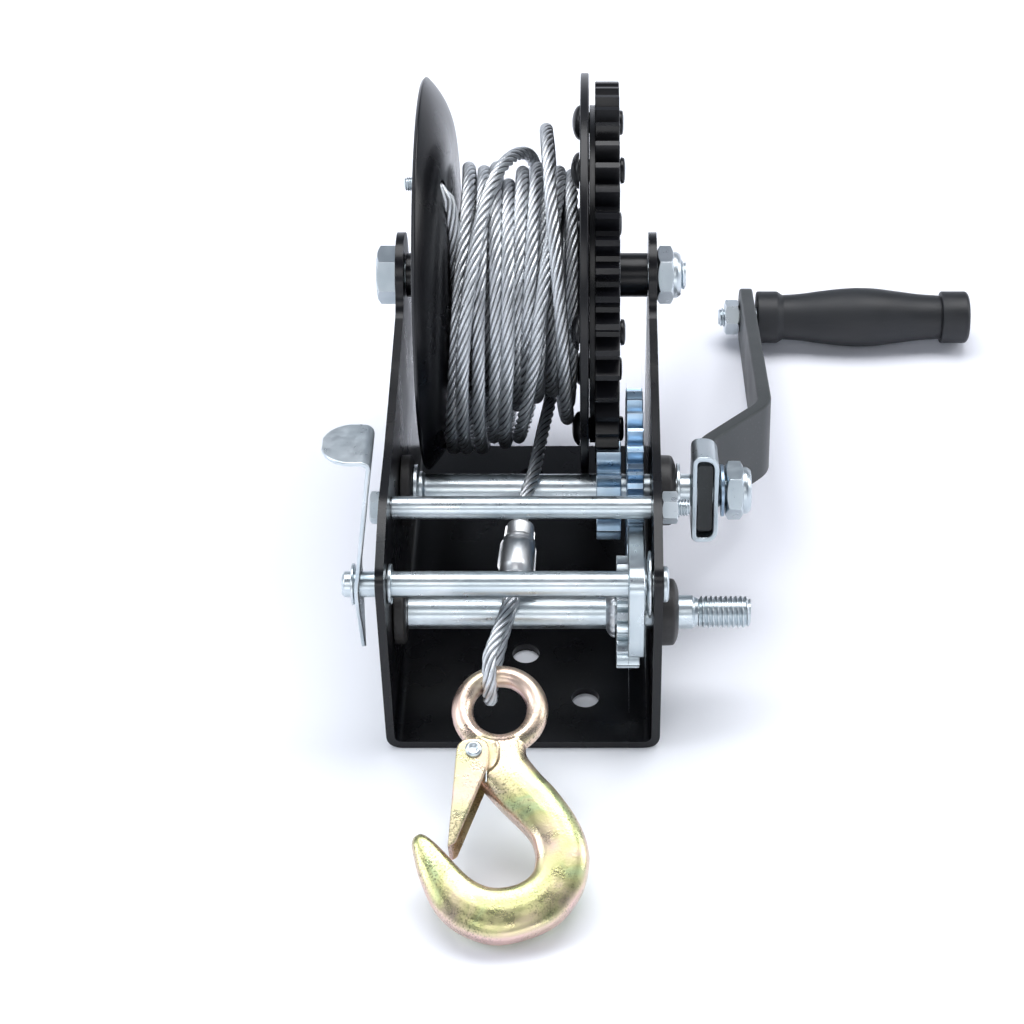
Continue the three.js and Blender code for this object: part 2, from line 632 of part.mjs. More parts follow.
// The hook's side view, drawn smaller all round by the inset.
function hookOutline(inset) {
  const shape = new THREE.Shape();
  shape.moveTo(9.5 - inset, -9);
  shape.lineTo(22.2 - inset, -32.6);
  shape.quadraticCurveTo(31 - inset, -43, bowl.x + bowl.outer - inset, bowl.y);
  shape.absarc(bowl.x, bowl.y, bowl.outer - inset, 0, -Math.PI, true);
  shape.quadraticCurveTo(-29.4 + inset, -46 - inset, -26 + 0.3 * inset, -44.5 - 1.2 * inset);
  shape.lineTo(-22.6 - 0.6 * inset, -46.2 - 1.2 * inset);
  const inner = { from: THREE.MathUtils.degToRad(220), to: THREE.MathUtils.degToRad(380) };
  shape.absarc(bowl.x, bowl.y, bowl.inner + inset, inner.from, inner.to, false);
  shape.quadraticCurveTo(10 + inset, -45.5 + 0.6 * inset, 5.5 + 0.7 * inset, -40.5 + 0.7 * inset);
  shape.lineTo(-4.1 + 0.75 * inset, -30.2 + 0.65 * inset);
  shape.quadraticCurveTo(-8.5 + inset, -25, -9.5 + inset, -18);
  shape.lineTo(-9.5 + inset, -9);
  shape.closePath();
  return shape;
}

// The body is thickest along its middle and steps in towards its two faces.
function hookBody() {
  const layers = [{ inset: 0, share: 0.5 }, { inset: 1.2, share: 0.8 }, { inset: 3, share: 1 }];
  const half = hookThickness / 2;
  const slabs = layers.map(({ inset, share }) => upZ(hookOutline(inset), -half * share, half * share, 6));
  const body = join(...slabs);
  const eyeRing = new THREE.TorusGeometry(eyeRadius, 3.7, 8, 24);
  const eyeHole = upZ(disc(eyeRadius), -10, 10, 12);
  const bossHalf = 3.8;
  const recess = (from, to) => upZ(disc(8.5, latchPivot.x, latchPivot.y), from, to, 10);
  const rivetHole = upZ(disc(2.2, latchPivot.x, latchPivot.y), -10, 10);
  const opened = cut(body, eyeHole, recess(bossHalf, 10), recess(-10, -bossHalf));
  return cut(join(opened, eyeRing), rivetHole);
}

function hookLatch() {
  const wing = outline([
    [-13.8, -13.6, 4.5], [-3, -13.2, 5], [-3.2, -23, 3], [-13.6, -50.4, 0.6], [-16, -51.8, 0.6],
  ]);
  const inside = outline([[-12.7, -8], [8, -8], [8, -56], [-15.2, -56]]);
  const wingFace = { outer: 7.3, inner: 6.3 };
  const hole = upZ(disc(2.2, latchPivot.x, latchPivot.y), -10, 10);
  return cut(
    upZ(wing, -wingFace.outer, wingFace.outer), upZ(inside, -wingFace.inner, wingFace.inner), hole);
}

function latchRivet() {
  const profile = [
    [-8.9, 0], [-8.9, 2.4], [-8.2, 3.3], [-7.6, 3.3], [-7.6, 1.9], [7.6, 1.9], [7.6, 3.3], [8.2, 3.3],
    [8.9, 2.4], [8.9, 0],
  ];
  return turned(profile, 12).rotateY(-Math.PI / 2);
}

// A wire coil round the rivet, with one leg in the latch and one against the hook's neck.
function latchSpring() {
  const coilRadius = 3.4;
  const turns = 1.35;
  const coilSteps = 16;
  const start = { angle: -0.4, z: 4.45 };
  const rise = 1.25;
  const coil = Array.from({ length: coilSteps + 1 }, (_, step) => {
    const share = step / coilSteps;
    const { x, y } = polar(coilRadius, start.angle - 2 * Math.PI * turns * share);
    return [latchPivot.x + x, latchPivot.y + y, start.z + rise * share];
  });
  const neckLeg = [[latchPivot.x + 4.4, latchPivot.y + 5.2, start.z]];
  const latchLeg = [[latchPivot.x - 3.6, latchPivot.y - 8, start.z + rise], [-12, -34, start.z + rise]];
  return wire([...neckLeg, ...coil, ...latchLeg], 0.4, 48, 6);
}

function addHook() {
  add('hook', hookBody(), yellowZinc, hookSet);
  add('hook_latch', hookLatch(), yellowZinc, hookSet);
  add('latch_rivet', latchRivet(), zinc, hookSet);
  add('latch_spring', latchSpring(), zinc, hookSet);
}

addFixedPieces();
addDrum();
addUpperShaft();
addCrank();
addLowerShaft();
addRatchet();
addRope();
addHook();

export default winch;
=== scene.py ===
import json
import math
import random

import bmesh
import bpy
import numpy as np
from mathutils import Matrix, Vector

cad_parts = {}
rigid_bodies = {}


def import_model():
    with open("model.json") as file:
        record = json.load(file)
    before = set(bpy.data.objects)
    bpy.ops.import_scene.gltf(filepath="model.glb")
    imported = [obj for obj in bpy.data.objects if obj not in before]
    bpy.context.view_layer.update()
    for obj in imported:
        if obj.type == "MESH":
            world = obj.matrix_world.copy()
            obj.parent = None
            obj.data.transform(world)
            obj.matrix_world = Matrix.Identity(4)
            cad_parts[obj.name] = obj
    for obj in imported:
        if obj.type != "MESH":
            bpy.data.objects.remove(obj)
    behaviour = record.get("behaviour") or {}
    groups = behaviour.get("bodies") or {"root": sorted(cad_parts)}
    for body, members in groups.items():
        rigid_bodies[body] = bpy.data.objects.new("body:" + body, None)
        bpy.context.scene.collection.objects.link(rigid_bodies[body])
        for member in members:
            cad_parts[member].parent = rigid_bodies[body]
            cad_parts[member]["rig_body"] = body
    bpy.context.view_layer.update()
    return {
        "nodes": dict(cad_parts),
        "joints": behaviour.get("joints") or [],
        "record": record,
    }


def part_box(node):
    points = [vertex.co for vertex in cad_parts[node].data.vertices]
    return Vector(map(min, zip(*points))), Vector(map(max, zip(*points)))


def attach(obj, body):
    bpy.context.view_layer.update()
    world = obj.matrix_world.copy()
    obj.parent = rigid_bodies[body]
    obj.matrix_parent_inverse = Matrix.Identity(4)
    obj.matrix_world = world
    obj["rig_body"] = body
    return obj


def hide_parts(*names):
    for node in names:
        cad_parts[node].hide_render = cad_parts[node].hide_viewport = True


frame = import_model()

MM = 0.001
FULL_TURN = 2 * math.pi

# ---- places and sizes from the frame ----
SLOTS = {row["node"]: row["material_slot"] for row in frame["record"]["subparts"]}
AXLES = {joint["child"]: Vector(joint["pos_m"]) / MM for joint in frame["joints"]}
DRUM = AXLES["drum"]
UPPER = AXLES["upper_drive"]
LOWER = AXLES["lower_drive"]
PAWL = AXLES["ratchet"]
GRIP = AXLES["grip"]


def span(node):
    """The lowest and highest corner of a CAD node in millimetres."""
    low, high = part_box(node)
    return low / MM, high / MM


def ends(node):
    """A CAD node's lowest and highest X."""
    low, high = span(node)
    return low.x, high.x


def on_axle(axle):
    return Matrix.Translation((0, axle.y, axle.z))


def middle_of(node):
    low, high = span(node)
    return (low + high) / 2


FRAME_LOW, FRAME_HIGH = span("frame")
FRONT, BACK = FRAME_LOW.y, FRAME_HIGH.y
PLATE_OUTER = FRAME_HIGH.x
SHEET = 3.0
PLATE_INNER = PLATE_OUTER - SHEET
GAP = 0.3
TIE = middle_of("tie_tube")
CRANK_DROP = math.atan2(GRIP.z - UPPER.z, GRIP.y - UPPER.y)
CRANK_LENGTH = math.hypot(GRIP.z - UPPER.z, GRIP.y - UPPER.y)
CRANK_PLACE = on_axle(UPPER) @ Matrix.Rotation(CRANK_DROP, 4, "X")
HOOK_TILT = math.radians(21)
HOOK_PLACE = Matrix.Translation((-6.9, -101.5, 35.437)) @ Matrix.Rotation(HOOK_TILT, 4, "X")
LATCH_PIVOT = Vector((-8.2, -17.5, 0))

# Turns an outline's own X, Y and height into the frame's axes.
ACROSS_X = Matrix(((0, 0, 1, 0), (1, 0, 0, 0), (0, 1, 0, 0), (0, 0, 0, 1)))
ALONG_Y = Matrix(((1, 0, 0, 0), (0, 0, -1, 0), (0, 1, 0, 0), (0, 0, 0, 1)))


# ---- mesh helpers ----
def mesh_from(vertices, faces):
    mesh = bpy.data.meshes.new("mesh")
    mesh.from_pydata([tuple(v) for v in vertices], [], faces)
    mesh.validate()
    return mesh


def linked(name, data):
    """A new object in the scene."""
    made = bpy.data.objects.new(name, data)
    bpy.context.scene.collection.objects.link(made)
    return made


def bmesh_of(*meshes):
    """Several meshes in one bmesh, without merging their surfaces."""
    made = bmesh.new()
    for mesh in meshes:
        made.from_mesh(mesh)
    return made


def mesh_of(made):
    """A bmesh as a mesh. The bmesh is freed."""
    mesh = bpy.data.meshes.new("mesh")
    made.to_mesh(mesh)
    made.free()
    return mesh


def outward(mesh):
    """The mesh with every face turned outwards."""
    made = bmesh_of(mesh)
    bmesh.ops.recalc_face_normals(made, faces=made.faces)
    return mesh_of(made)


def applied(holder):
    """The mesh of an object after its modifiers. The object is removed."""
    depsgraph = bpy.context.evaluated_depsgraph_get()
    made = bpy.data.meshes.new_from_object(holder.evaluated_get(depsgraph))
    bpy.data.objects.remove(holder)
    return made


def evaluated(mesh, *modifiers):
    """The mesh after modifiers, each given as a kind and its settings."""
    holder = linked("holder", mesh)
    for kind, settings in modifiers:
        modifier = holder.modifiers.new(kind, kind)
        for key, value in settings.items():
            setattr(modifier, key, value)
    return applied(holder)


def boolean(mesh, *tools, how="DIFFERENCE"):
    """Cuts, joins or intersects a mesh with each tool in turn."""
    for tool in tools:
        holder = linked("tool", tool)
        mesh = evaluated(mesh, ("BOOLEAN", {"object": holder, "operation": how, "solver": "EXACT"}))
        bpy.data.objects.remove(holder)
    return mesh


def fused(*meshes):
    return boolean(*meshes, how="UNION")


def bevelled(mesh, width, segments=2, angle=30):
    return evaluated(mesh, ("BEVEL", {
        "width": width, "segments": segments, "limit_method": "ANGLE",
        "angle_limit": math.radians(angle), "use_clamp_overlap": True,
    }))


def joined(*meshes):
    return mesh_of(bmesh_of(*meshes))


def moved(mesh, matrix):
    mesh.transform(matrix)
    return mesh


def rounded(corners, closed=True, steps=4):
    """Points of a [x, y, cut] outline. A corner with a cut is rounded off over that length."""
    points = []
    for index, (x, y, *cut) in enumerate(corners):
        here = Vector((x, y))
        at_end = not closed and index in (0, len(corners) - 1)
        if not cut or at_end:
            points.append(here)
            continue
        before = (Vector(corners[index - 1][:2]) - here).normalized() * cut[0]
        after = (Vector(corners[(index + 1) % len(corners)][:2]) - here).normalized() * cut[0]
        for step in range(steps + 1):
            share = step / steps
            points.append(here + before * (1 - share) ** 2 + after * share**2)
    return points


def arc(x, y, radius, start, end, steps):
    angles = [start + (end - start) * step / steps for step in range(steps + 1)]
    return [Vector((x + radius * math.cos(a), y + radius * math.sin(a))) for a in angles]


def circle(radius, x=0.0, y=0.0, steps=48):
    return arc(x, y, radius, 0, FULL_TURN, steps)[:-1]


def tube_faces(rows, ring):
    """The faces of a closed tube whose vertices come in rows, each a ring of as many points."""
    faces = [[r * ring + i, r * ring + (i + 1) % ring, (r + 1) * ring + (i + 1) % ring, (r + 1) * ring + i]
             for r in range(rows - 1) for i in range(ring)]
    faces.append(list(range(ring))[::-1])
    faces.append(list(range((rows - 1) * ring, rows * ring)))
    return faces


def prism(outline, low, high):
    """A sharp-edged solid of one outline between two heights."""
    vertices = [(x, y, z) for z in (low, high) for x, y in outline]
    return outward(mesh_from(vertices, tube_faces(2, len(outline))))


def plate(outlines, low, high, edge=0.3, rounds=2):
    """A flat piece between two heights with rounded edges: its outside first, then its holes."""
    curve = bpy.data.curves.new("plate", "CURVE")
    curve.dimensions = "2D"
    curve.fill_mode = "BOTH"
    curve.extrude = (high - low) / 2 - edge
    curve.bevel_depth = edge
    curve.bevel_resolution = rounds
    curve.offset = -edge
    for outline in outlines:
        spline = curve.splines.new("POLY")
        spline.points.add(len(outline) - 1)
        for point, (x, y) in zip(spline.points, outline):
            point.co = (x, y, 0, 1)
        spline.use_cyclic_u = True
    made = bmesh_of(applied(linked("plate", curve)))
    bmesh.ops.remove_doubles(made, verts=made.verts, dist=0.001)
    bmesh.ops.recalc_face_normals(made, faces=made.faces)
    bmesh.ops.translate(made, verts=made.verts, vec=(0, 0, (low + high) / 2))
    return mesh_of(made)


def lathe(profile, segments=64, closed=False):
    """A turned mesh about X from its [x, radius, cut] profile, with X rising along the outside."""
    made = bmesh.new()
    angles = [FULL_TURN * step / segments for step in range(segments)]
    rings = []
    for x, radius in rounded(profile, closed):
        if radius < 1e-6:
            rings.append([made.verts.new((x, 0, 0))])
        else:
            rings.append([made.verts.new((x, radius * math.cos(a), radius * math.sin(a))) for a in angles])
    pairs = list(zip(rings, rings[1:]))
    if closed:
        pairs.append((rings[-1], rings[0]))
    for first, second in pairs:
        for i in range(segments):
            j = (i + 1) % segments
            corners = list(dict.fromkeys([
                first[i % len(first)], first[j % len(first)],
                second[j % len(second)], second[i % len(second)],
            ]))
            if len(corners) > 2:
                made.faces.new(corners)
    bmesh.ops.recalc_face_normals(made, faces=made.faces)
    return mesh_of(made)


def tube(low, high, inner, outer, edge=0.3, segments=64):
    """A ring about X with its four edges rounded."""
    corners = [[low, inner, edge], [low, outer, edge], [high, outer, edge], [high, inner, edge]]
    return lathe(corners, segments, closed=True)


def cylinder(low, high, radius, segments=48):
    return lathe([[low, 0], [low, radius], [high, radius], [high, 0]], segments)


def hexed(across_flats, low, high, bore=0.0, chamfer_low=True, chamfer_high=True):
    """A nut or bolt head about X: a hexagon whose corners a cone cuts back at its ends."""
    corner = across_flats / math.sqrt(3)
    past_corner, face_radius = corner + 0.3, across_flats / 2 * 0.96
    slope = (past_corner - face_radius) * math.tan(math.radians(30))
    profile = [[low, 0], [low, face_radius if chamfer_low else past_corner]]
    profile += [[low + slope, past_corner]] if chamfer_low else []
    profile += [[high - slope, past_corner]] if chamfer_high else []
    profile += [[high, face_radius if chamfer_high else past_corner], [high, 0]]
    block = moved(prism(circle(corner, steps=6), low, high), ACROSS_X)
    block = boolean(block, lathe(profile, 72), how="INTERSECT")
    if bore:
        mouth = bore + 1.4
        funnel = lathe([[low - 1, 0], [low - 1, mouth], [low + 0.6, bore], [high - 0.6, bore],
                        [high + 1, mouth], [high + 1, 0]], 48)
        block = boolean(block, funnel)
    return bevelled(block, 0.12, 1, 20)


def threaded(low, high, radius, pitch, sides=48):
    """A threaded rod about X: a cylinder whose radius follows the thread's ridge round and along."""
    depth = pitch * 0.55
    rows = max(2, round((high - low) / pitch * 8))
    vertices = [(low, 0, 0)]
    for row in range(rows + 1):
        x = low + (high - low) * row / rows
        room = min(1.0, (x - low) / pitch, (high - x) / pitch)
        for side in range(sides):
            phase = (x / pitch - side / sides) % 1.0
            ridge = min(1.0, 2.4 * abs(phase - 0.5))
            here = radius - depth * (1 - ridge) - depth * 0.9 * (1 - room)
            angle = FULL_TURN * side / sides
            vertices.append((x, here * math.cos(angle), here * math.sin(angle)))
    vertices.append((high, 0, 0))
    at = lambda row, side: 1 + row * sides + side % sides
    faces = [[0, at(0, s + 1), at(0, s)] for s in range(sides)]
    faces += [[at(r, s), at(r, s + 1), at(r + 1, s + 1), at(r + 1, s)]
              for r in range(rows) for s in range(sides)]
    faces += [[at(rows, s), at(rows, s + 1), len(vertices) - 1] for s in range(sides)]
    return mesh_from(vertices, faces)


def bent_bar(path, half_width, thickness, corner=0.7):
    """A flat bar along a centreline in X, Y. half_width(point) gives its reach to each side along Z."""
    steps = 4
    half = thickness / 2
    vertices = []
    for index, here in enumerate(path):
        along = (path[min(index + 1, len(path) - 1)] - path[max(index - 1, 0)]).normalized()
        across = Vector((along.y, -along.x))
        reach = half_width(here)
        cut = min(corner, reach * 0.6)
        for quarter, (sign_u, sign_w) in enumerate(((1, 1), (-1, 1), (-1, -1), (1, -1))):
            for step in range(steps):
                angle = math.pi / 2 * (quarter + step / (steps - 1))
                u = sign_u * (half - cut) + cut * math.cos(angle)
                w = sign_w * (reach - cut) + cut * math.sin(angle)
                vertices.append((here.x + across.x * u, here.y + across.y * u, w))
    return outward(mesh_from(vertices, tube_faces(len(path), 4 * steps)))


def dense(points, spacing):
    """The same broken line with a point at least every spacing."""
    made = [points[0]]
    for before, after in zip(points, points[1:]):
        pieces = max(1, math.ceil((after - before).length / spacing))
        made += [before.lerp(after, step / pieces) for step in range(1, pieces + 1)]
    return made


def smooth_path(points, spacing):
    """A centripetal curve through points, as evenly spaced points."""
    points = [Vector(p) for p in points]
    ends = [points[0] * 2 - points[1], *points, points[-1] * 2 - points[-2]]
    fine = []
    for p0, p1, p2, p3 in zip(ends, ends[1:], ends[2:], ends[3:]):
        d0, d1, d2 = (math.sqrt((b - a).length) for a, b in ((p0, p1), (p1, p2), (p2, p3)))
        m1 = ((p1 - p0) / d0 - (p2 - p0) / (d0 + d1) + (p2 - p1) / d1) * d1
        m2 = ((p2 - p1) / d1 - (p3 - p1) / (d1 + d2) + (p3 - p2) / d2) * d1
        for step in range(24):
            t = step / 24
            fine.append(p1 * (2 * t**3 - 3 * t**2 + 1) + m1 * (t**3 - 2 * t**2 + t)
                        + p2 * (3 * t**2 - 2 * t**3) + m2 * (t**3 - t**2))
    fine.append(points[-1])
    return even(fine, spacing)


def even(points, spacing):
    """Evenly spaced points along a broken line."""
    line = np.array([tuple(p) for p in points])
    at = np.concatenate(([0], np.cumsum(np.linalg.norm(np.diff(line, axis=0), axis=1))))
    count = max(2, round(at[-1] / spacing)) + 1
    wanted = np.linspace(0, at[-1], count)
    return np.stack([np.interp(wanted, at, line[:, axis]) for axis in range(3)], axis=1)


def path_frames(points):
    """Two unit vectors square to the path at each point, turned along it without twist."""
    along = np.gradient(points, axis=0)
    along /= np.linalg.norm(along, axis=1)[:, None]
    current = np.array([0.0, 0.0, 1.0]) if abs(along[0][2]) < 0.9 else np.array([1.0, 0.0, 0.0])
    normals = np.zeros_like(points)
    for index, tangent in enumerate(along):
        current = current - tangent * np.dot(current, tangent)
        current /= np.linalg.norm(current)
        normals[index] = current
    return normals, np.cross(along, normals)


def swept(points, section, twist=None, uv=False):
    """A closed tube along points. section is an array of [x, y] places, and twist turns it at each point."""
    points = np.array([tuple(p) for p in points])
    normals, sides = path_frames(points)
    twist = np.zeros(len(points)) if twist is None else twist
    cos, sin = np.cos(twist)[:, None], np.sin(twist)[:, None]
    x = section[None, :, 0] * cos - section[None, :, 1] * sin
    y = section[None, :, 0] * sin + section[None, :, 1] * cos
    vertices = points[:, None, :] + x[..., None] * normals[:, None, :] + y[..., None] * sides[:, None, :]
    ring, rows = len(section), len(points)
    mesh = bpy.data.meshes.new("mesh")
    mesh.from_pydata(vertices.reshape(-1, 3).tolist(), [], tube_faces(rows, ring))
    if uv:
        row, side = np.meshgrid(np.arange(rows - 1), np.arange(ring), indexing="ij")
        around = np.stack([side, side + 1, side + 1, side], -1) / ring
        length = np.stack([row, row, row + 1, row + 1], -1)
        turned = around + twist[length] / FULL_TURN
        corner_uv = np.stack([length / rows, turned], -1).reshape(-1)
        layer = mesh.uv_layers.new(name="rope")
        padded = np.concatenate([corner_uv, np.zeros(4 * ring)]).astype(np.float32)
        layer.data.foreach_set("uv", padded)
    return mesh


def round_section(radius, sides=12):
    return np.array([tuple(p) for p in circle(radius, steps=sides)])


# ---- materials ----
def shader_for(name):
    material = bpy.data.materials.new(name)
    material.use_nodes = True
    tree = material.node_tree
    return material, tree, tree.nodes["Principled BSDF"]


def add_node(tree, kind, inputs=None, **settings):
    made = tree.nodes.new(kind)
    for key, value in settings.items():
        setattr(made, key, value)
    for key, value in (inputs or {}).items():
        if isinstance(value, bpy.types.NodeSocket):
            tree.links.new(value, made.inputs[key])
        else:
            made.inputs[key].default_value = value
    return made


def noise(tree, scale, detail=3.0, distortion=0.0):
    """A noise value from 0 to 1. scale counts its patches per metre."""
    place = add_node(tree, "ShaderNodeTexCoord").outputs["Object"]
    made = add_node(tree, "ShaderNodeTexNoise", {
        "Vector": place, "Scale": scale, "Detail": detail, "Distortion": distortion,
    })
    return made.outputs["Fac"]


def maths(tree, operation, first, second=0.0):
    return add_node(tree, "ShaderNodeMath", {0: first, 1: second}, operation=operation).outputs[0]


def ranged(tree, value, low, high, to_low=0.0, to_high=1.0):
    made = add_node(tree, "ShaderNodeMapRange", {
        "Value": value, "From Min": low, "From Max": high, "To Min": to_low, "To Max": to_high,
    })
    return made.outputs["Result"]


def ramp(tree, factor, *stops):
    made = add_node(tree, "ShaderNodeValToRGB", {"Fac": factor})
    elements = made.color_ramp.elements
    while len(elements) < len(stops):
        elements.new(0.5)
    for element, (position, colour) in zip(elements, stops):
        element.position = position
        element.color = (*colour, 1)
    return made.outputs["Color"]


def mixed(tree, factor, first, second):
    made = add_node(tree, "ShaderNodeMix", {"Factor": factor}, data_type="RGBA")
    for socket, value in ((made.inputs[6], first), (made.inputs[7], second)):
        if isinstance(value, bpy.types.NodeSocket):
            tree.links.new(value, socket)
        else:
            socket.default_value = (*value, 1)
    return made.outputs[2]


def vector_value(tree, operation, *vectors):
    """One number from vectors, such as a dot product or a length."""
    made = add_node(tree, "ShaderNodeVectorMath", dict(enumerate(vectors)), operation=operation)
    return made.outputs["Value"]


def edge_mask(tree):
    """Near 1 on a piece's edges, from how a rounded normal differs from the real one."""
    radius, sharpness = 0.0005, 0.12
    soft = add_node(tree, "ShaderNodeBevel", {"Radius": radius}, samples=4).outputs["Normal"]
    real = add_node(tree, "ShaderNodeNewGeometry").outputs["Normal"]
    return ranged(tree, vector_value(tree, "DOT_PRODUCT", soft, real), 1.0 - sharpness * 0.2, 1.0 - sharpness)


def bump(tree, shader, height, strength, distance=0.0003):
    made = add_node(tree, "ShaderNodeBump", {"Height": height, "Strength": strength, "Distance": distance})
    tree.links.new(made.outputs["Normal"], shader.inputs["Normal"])


def vary_roughness(tree, shader, value, low, high, smoothest, roughest):
    tree.links.new(ranged(tree, value, low, high, smoothest, roughest), shader.inputs["Roughness"])


def product(tree, first, second):
    return maths(tree, "MULTIPLY", first, second)


def dimmed(colour, share):
    return [channel * share for channel in colour]


def paint(name, colour, worn, roughness, coat, wear, specular, dust_share):
    """Sprayed paint: slight orange peel, dust, and edges rubbed lighter."""
    material, tree, shader = shader_for(name)
    patches = noise(tree, 45, 4)
    dust = ranged(tree, noise(tree, 900, 2), 0.62, 0.8)
    base = mixed(tree, ranged(tree, patches, 0.3, 0.7), colour, dimmed(colour, 1.5))
    base = mixed(tree, product(tree, dust, dust_share), base, (0.3, 0.3, 0.32))
    rubbed = product(tree, edge_mask(tree), ranged(tree, noise(tree, 260, 3), 0.42, 0.75))
    base = mixed(tree, product(tree, rubbed, wear), base, worn)
    tree.links.new(base, shader.inputs["Base Color"])
    vary_roughness(tree, shader, patches, 0.2, 0.8, roughness * 0.8, roughness * 1.25)
    shader.inputs["Specular IOR Level"].default_value = specular
    shader.inputs["Coat Weight"].default_value = coat
    shader.inputs["Coat Roughness"].default_value = 0.18
    bump(tree, shader, noise(tree, 1300, 2), 0.08)
    return material


def plastic(name, colour, roughness, grain):
    """Moulded plastic with a fine spark-eroded texture and slightly polished high spots."""
    material, tree, shader = shader_for(name)
    cloud = noise(tree, 70, 4)
    base = mixed(tree, ranged(tree, cloud, 0.35, 0.7), colour, dimmed(colour, 1.7))
    base = mixed(tree, product(tree, edge_mask(tree), 0.35), base, dimmed(colour, 3))
    tree.links.new(base, shader.inputs["Base Color"])
    vary_roughness(tree, shader, cloud, 0.3, 0.7, roughness - 0.08, roughness + 0.08)
    bump(tree, shader, noise(tree, grain, 2), 0.25)
    return material


def plated(name, colours, roughness, grain=700, bump_strength=0.03):
    """Bare or plated metal: a clouded tint, dull specks and brighter edges."""
    material, tree, shader = shader_for(name)
    cloud = noise(tree, 38, 3, distortion=0.5)
    base = ramp(tree, cloud, *zip((0.3, 0.5, 0.72), colours))
    specks = ranged(tree, noise(tree, 900, 2), 0.68, 0.8)
    base = mixed(tree, product(tree, specks, 0.3), base, dimmed(colours[0], 0.5))
    base = mixed(tree, product(tree, edge_mask(tree), 0.45), base, (0.95, 0.96, 0.97))
    tree.links.new(base, shader.inputs["Base Color"])
    vary_roughness(tree, shader, noise(tree, 260, 2), 0.25, 0.75, roughness * 0.85, roughness * 1.2)
    shader.inputs["Metallic"].default_value = 1.0
    bump(tree, shader, noise(tree, grain, 3), bump_strength)
    return material


def chromated(name):
    """Yellow chromate on forged steel: gold and green on the flats, pink where the surface turns away."""
    material, tree, shader = shader_for(name)
    gold, olive, green = (0.68, 0.61, 0.34), (0.58, 0.58, 0.27), (0.48, 0.57, 0.30)
    rose, pink, peach, bronze = (0.72, 0.56, 0.45), (0.76, 0.54, 0.50), (0.74, 0.58, 0.46), (0.58, 0.50, 0.34)
    cloud = noise(tree, 48, 4, distortion=0.9)
    flat = ramp(tree, cloud, (0.30, rose), (0.42, gold), (0.52, olive), (0.62, green), (0.74, gold))
    side = ramp(tree, noise(tree, 70, 4), (0.35, pink), (0.6, peach), (0.75, bronze))
    tilt = add_node(tree, "ShaderNodeAttribute", attribute_name="tilt").outputs["Fac"]
    base = mixed(tree, ranged(tree, tilt, 0.08, 0.6), flat, side)
    grains = ranged(tree, noise(tree, 1500, 3), 0.5, 0.66)
    patches = ranged(tree, noise(tree, 55, 3), 0.42, 0.62)
    dark = product(tree, grains, product(tree, patches, 0.75))
    base = mixed(tree, dark, base, (0.10, 0.10, 0.05))
    tree.links.new(base, shader.inputs["Base Color"])
    vary_roughness(tree, shader, noise(tree, 160, 4), 0.3, 0.7, 0.2, 0.42)
    shader.inputs["Metallic"].default_value = 0.92
    bump(tree, shader, noise(tree, 1400, 3), 0.16)
    return material


def wire_material(name, colour):
    """Galvanised wire rope: round wires along each strand, with painted shade down in the grooves between
    strands and in the valleys between the wires.
    """
    material, tree, shader = shader_for(name)
    wires_round = 34
    place = add_node(tree, "ShaderNodeUVMap", uv_map="rope").outputs["UV"]
    around = add_node(tree, "ShaderNodeSeparateXYZ", {"Vector": place}).outputs["Y"]
    wave = maths(tree, "SINE", product(tree, around, FULL_TURN * wires_round))
    groove = add_node(tree, "ShaderNodeAttribute", attribute_name="groove").outputs["Fac"]
    unshaded_colour = mixed(tree, ranged(tree, noise(tree, 90, 2), 0.35, 0.7), colour, dimmed(colour, 0.8))
    # Painted shade: the deeper a point lies in a groove between strands, the nearer to black it is painted.
    base = mixed(tree, ranged(tree, groove, 0.25, 0.85), unshaded_colour, dimmed(colour, 0.05))
    # Painted shade: the valleys between the round wires are painted darker.
    base = mixed(tree, ranged(tree, wave, -0.95, -0.4, 0.35, 0.0), base, dimmed(colour, 0.25))
    tree.links.new(base, shader.inputs["Base Color"])
    shader.inputs["Metallic"].default_value = 0.95
    vary_roughness(tree, shader, noise(tree, 200, 2), 0.3, 0.7, 0.3, 0.42)
    bump(tree, shader, wave, 0.3, 0.00015)
    return material


ZINC = [(0.46, 0.53, 0.57), (0.57, 0.63, 0.66), (0.66, 0.70, 0.73)]
BLUE_ZINC = [(0.25, 0.36, 0.48), (0.36, 0.48, 0.60), (0.50, 0.60, 0.68)]
ALUMINIUM = [(0.72, 0.73, 0.74), (0.80, 0.81, 0.82), (0.86, 0.86, 0.87)]
WELD_METAL = [(0.45, 0.47, 0.5), (0.62, 0.65, 0.68), (0.7, 0.72, 0.74)]
MATERIALS = {
    "black_paint": paint("black_paint", (0.0030, 0.0031, 0.0042), (0.09, 0.10, 0.11), roughness=0.28,
                         coat=0.1, wear=0.3, specular=0.28, dust_share=0.03),
    "crank_paint": paint("crank_paint", (0.024, 0.028, 0.029), (0.2, 0.22, 0.22), roughness=0.5,
                         coat=0.0, wear=0.5, specular=0.5, dust_share=0.12),
    "black_nylon": plastic("black_nylon", (0.017, 0.016, 0.016), 0.5, 1600),
    "grip_plastic": plastic("grip_plastic", (0.007, 0.008, 0.010), 0.5, 2200),
    "zinc": plated("zinc", ZINC, 0.3),
    "blue_zinc": plated("blue_zinc", BLUE_ZINC, 0.3),
    "wire_rope": wire_material("wire_rope", (0.80, 0.83, 0.86)),
    "aluminium": plated("aluminium", ALUMINIUM, 0.4, 900, 0.2),
    "yellow_zinc": chromated("yellow_zinc"),
}
WELD = plated("weld", WELD_METAL, 0.42, 600, 0.8)
NYLOC = plastic("nyloc_insert", (0.20, 0.32, 0.42), 0.5, 1500)


# ---- pieces ----
NOT_SHARP = {"weighted": False, "sharp": 180}


